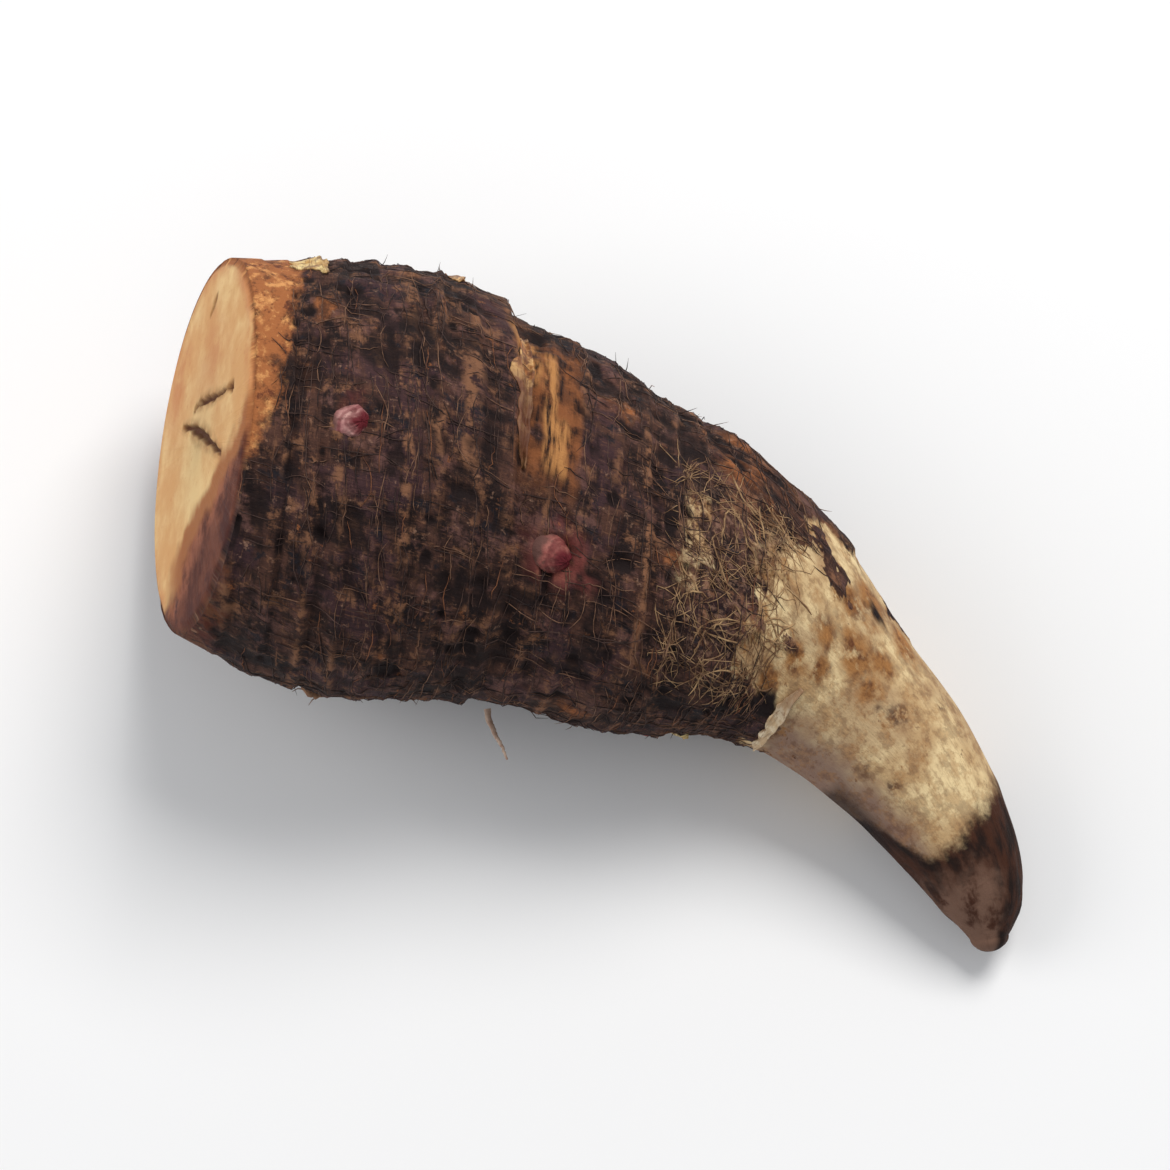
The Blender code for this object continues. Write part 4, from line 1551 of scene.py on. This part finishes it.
@dataclass
class Studio:
    """A pale floor, soft light and the camera."""

    azimuth: float = 0.0
    elevation: float = 75.0
    lens: float = 135.0
    fill: float = 0.76
    sensor: float = 36.0

    def floor(self) -> None:
        """A wide pale floor."""
        bm = bmesh.new()
        bmesh.ops.create_grid(bm, x_segments=2, y_segments=2, size=3.0)
        mesh = bpy.data.meshes.new("floor")
        bm.to_mesh(mesh)
        bm.free()
        n = Nodes("floor_finish")
        cloud = n.noise(n.place(), 6.0, 2.0)
        colour = n.blend(n.maths("MULTIPLY", cloud, 0.5), (0.90, 0.90, 0.905), (0.87, 0.875, 0.885))
        floor = add_object("floor", mesh, n.finish(colour, 0.8, 0.2))
        floor.location.z = -0.0002

    def light(self, name: str, place: Vector, size: float, power: float, colour: Colour) -> None:
        """A soft area light that faces the root."""
        data = bpy.data.lights.new(name, "AREA")
        data.size = size
        data.energy = power
        data.color = colour
        lamp = bpy.data.objects.new(name, data)
        lamp.location = place
        lamp.rotation_euler = (-place).to_track_quat("-Z", "Y").to_euler()
        bpy.context.scene.collection.objects.link(lamp)

    def build(self) -> None:
        """Sets the floor, the lights, the sky and the camera."""
        self.floor()
        self.light("key", Vector((0.35, 0.55, 0.9)), 0.50, 9.0, (1.0, 0.985, 0.96))
        self.light("fill", Vector((-0.9, 0.1, 0.6)), 0.8, 4.6, (1.0, 0.98, 0.96))
        world = bpy.data.worlds.new("sky")
        world.use_nodes = True
        world.node_tree.nodes["Background"].inputs["Color"].default_value = (0.93, 0.96, 1.0, 1.0)
        world.node_tree.nodes["Background"].inputs["Strength"].default_value = 0.38
        bpy.context.scene.world = world
        bpy.context.scene.view_settings.view_transform = "Standard"
        self.camera()

    def camera(self) -> None:
        """Aims the camera at the middle of the root."""
        low, high = (Vector(corner) for corner in CAD_BOX)
        middle = (low + high) / 2
        middle.z *= 0.8
        turn, rise = math.radians(self.azimuth), math.radians(self.elevation)
        level = Vector((math.sin(turn), -math.cos(turn), 0)) * math.cos(rise)
        away = level + Vector((0, 0, math.sin(rise)))
        width = (high.x - low.x) / self.fill
        data = bpy.data.cameras.new("camera")
        data.lens = self.lens
        data.sensor_width = self.sensor
        camera = bpy.data.objects.new("camera", data)
        camera.location = middle + away * (width * self.lens / self.sensor)
        camera.rotation_euler = away.to_track_quat("Z", "Y").to_euler()
        bpy.context.scene.collection.objects.link(camera)
        bpy.context.scene.camera = camera


# ---------------------------------------------------------------------------------------------------------
# Putting it together
# ---------------------------------------------------------------------------------------------------------

TAN_THREADS = FibreFinish("tan_threads", (0.24, 0.125, 0.075), (0.085, 0.042, 0.028))
BROWN_THREADS = FibreFinish("brown_threads", (0.085, 0.046, 0.036), (0.02, 0.012, 0.012))
RUST_THREADS = FibreFinish("rust_threads", (0.26, 0.10, 0.045), (0.09, 0.035, 0.022))
CREAM_THREADS = FibreFinish("cream_threads", (0.42, 0.26, 0.135), (0.14, 0.068, 0.034))
STRAW_STRIPS = FibreFinish("straw_strips", (0.44, 0.28, 0.14), (0.17, 0.085, 0.042))


def build_fibres(skin: Skin) -> None:
    """Lays the coats of threads on the husk and the neck."""
    # Each coat: name, finish, heading, count, seed, first and last distance, shortest, longest, thickness.
    coats = (
        FibreCoat(skin, "ring_threads_brown", BROWN_THREADS, Heading.RING, 760, 1, 14, 94, 4, 14, 0.13),
        FibreCoat(skin, "long_threads_brown", BROWN_THREADS, Heading.LENGTH, 560, 2, 14, 94, 3, 10, 0.12),
        FibreCoat(skin, "ring_threads_tan", TAN_THREADS, Heading.RING, 400, 3, 16, 92, 3, 10, 0.12,
                  clumping=0.8),
        FibreCoat(skin, "long_threads_tan", TAN_THREADS, Heading.LENGTH, 240, 4, 16, 92, 3, 9, 0.12),
        FibreCoat(skin, "rust_threads", RUST_THREADS, Heading.RING, 150, 5, 12, 92, 3, 8, 0.12),
        FibreCoat(skin, "neck_net", CREAM_THREADS, Heading.NET, 210, 6, 70, 88, 4, 10, 0.12, lift=0.05,
                  around=(56, 144), wobble=0.8),
        FibreCoat(skin, "neck_strips", STRAW_STRIPS, Heading.NET, 24, 7, 73, 89, 3, 8, 0.28, lift=0.03,
                  around=(62, 140), wobble=0.7),
    )
    for coat in coats:
        coat.build()


def build_buds(skin: Skin) -> None:
    """Sets the buds in their places."""
    blush = BudFinish((0.40, 0.17, 0.165), (0.52, 0.29, 0.26))
    crimson = BudFinish((0.27, 0.070, 0.060), (0.36, 0.13, 0.105))
    dull = BudFinish((0.24, 0.10, 0.08), (0.36, 0.20, 0.15))
    finishes = (blush, crimson, dull, blush, dull, crimson)
    for number, (place, finish) in enumerate(zip(skin.buds, finishes), 1):
        Bud(skin, number, *place, finish).build()


def build_rootlets(skin: Skin) -> None:
    """Sets the rootlets in their places: distance, angle, run, turn, rise and radius of each."""
    pale = FibreFinish("pale_rootlet", (0.62, 0.46, 0.36), (0.36, 0.22, 0.16))
    wiry = FibreFinish("wiry_rootlet", (0.30, 0.16, 0.09), (0.11, 0.055, 0.035))
    rows = (
        (52.0, 190.0, 4.5, -2.0, 6.0, 0.40),
        (36.0, 236.0, 14.0, -8.0, 2.4, 0.60),
        (64.0, 238.0, -13.0, -12.0, 2.2, 0.50),
        (24.0, 214.0, 9.0, 8.0, 2.4, 0.55),
        (73.0, 310.0, -15.0, 7.0, 2.6, 0.60),
        (48.0, 322.0, 17.0, 26.0, 2.8, 0.65),
        (22.0, 346.0, 19.0, -16.0, 3.0, 0.55),
        (80.0, 300.0, 12.0, -22.0, 2.2, 0.45),
        (88.0, 236.0, -13.0, 16.0, 2.0, 0.40),
    )
    for number, row in enumerate(rows, 1):
        if number == 1:
            Rootlet(skin, number, *row, finish=pale, hairs=0, unrest=0.05, wave=0.2, bend=1.0).build()
        else:
            Rootlet(skin, number, *row, finish=wiry).build()


def build_scraps(skin: Skin) -> None:
    """Sets the scraps of old sheath in their places."""
    amber = SheathFinish("amber_sheath", (0.70, 0.42, 0.17), (0.34, 0.13, 0.042), (0.12, 0.04, 0.018))
    ivory = SheathFinish("ivory_sheath", (0.86, 0.72, 0.50), (0.60, 0.42, 0.24), (0.26, 0.13, 0.06), 0.60)
    straw = SheathFinish("straw_sheath", (0.78, 0.60, 0.27), (0.52, 0.31, 0.11), (0.16, 0.065, 0.028), 0.54)
    SheathScrap(skin, "waist_sheath_scrap", 47.6, 50.0, 38.0, 88.0, amber, seed=61,
                stained=(0.32, 0.62)).build()
    SheathScrap(skin, "shoulder_sheath_scrap", 92.9, 95.3, 114.0, 178.0, ivory, seed=62,
                curl=0.7, stained=(0.5, 0.0)).build()
    SheathScrap(skin, "collar_skin_chip", 17.2, 23.5, 25.0, 41.0, straw, seed=63, curl=0.6).build()
    SheathScrap(skin, "far_side_sheath_scrap", 39.0, 43.5, 344.0, 384.0, amber, seed=64).build()
    SheathScrap(skin, "near_side_sheath_scrap", 79.0, 82.5, 186.0, 222.0, straw, seed=65).build()


def main() -> None:
    """Builds the root piece by piece, then its surroundings."""
    logging.basicConfig(level=logging.INFO, format="%(name)s %(message)s")
    stem = Stem()
    skin = Skin(stem)
    Corm(stem, skin).build()
    build_fibres(skin)
    build_buds(skin)
    build_rootlets(skin)
    build_scraps(skin)
    Studio().build()


if __name__ == "__main__":
    main()
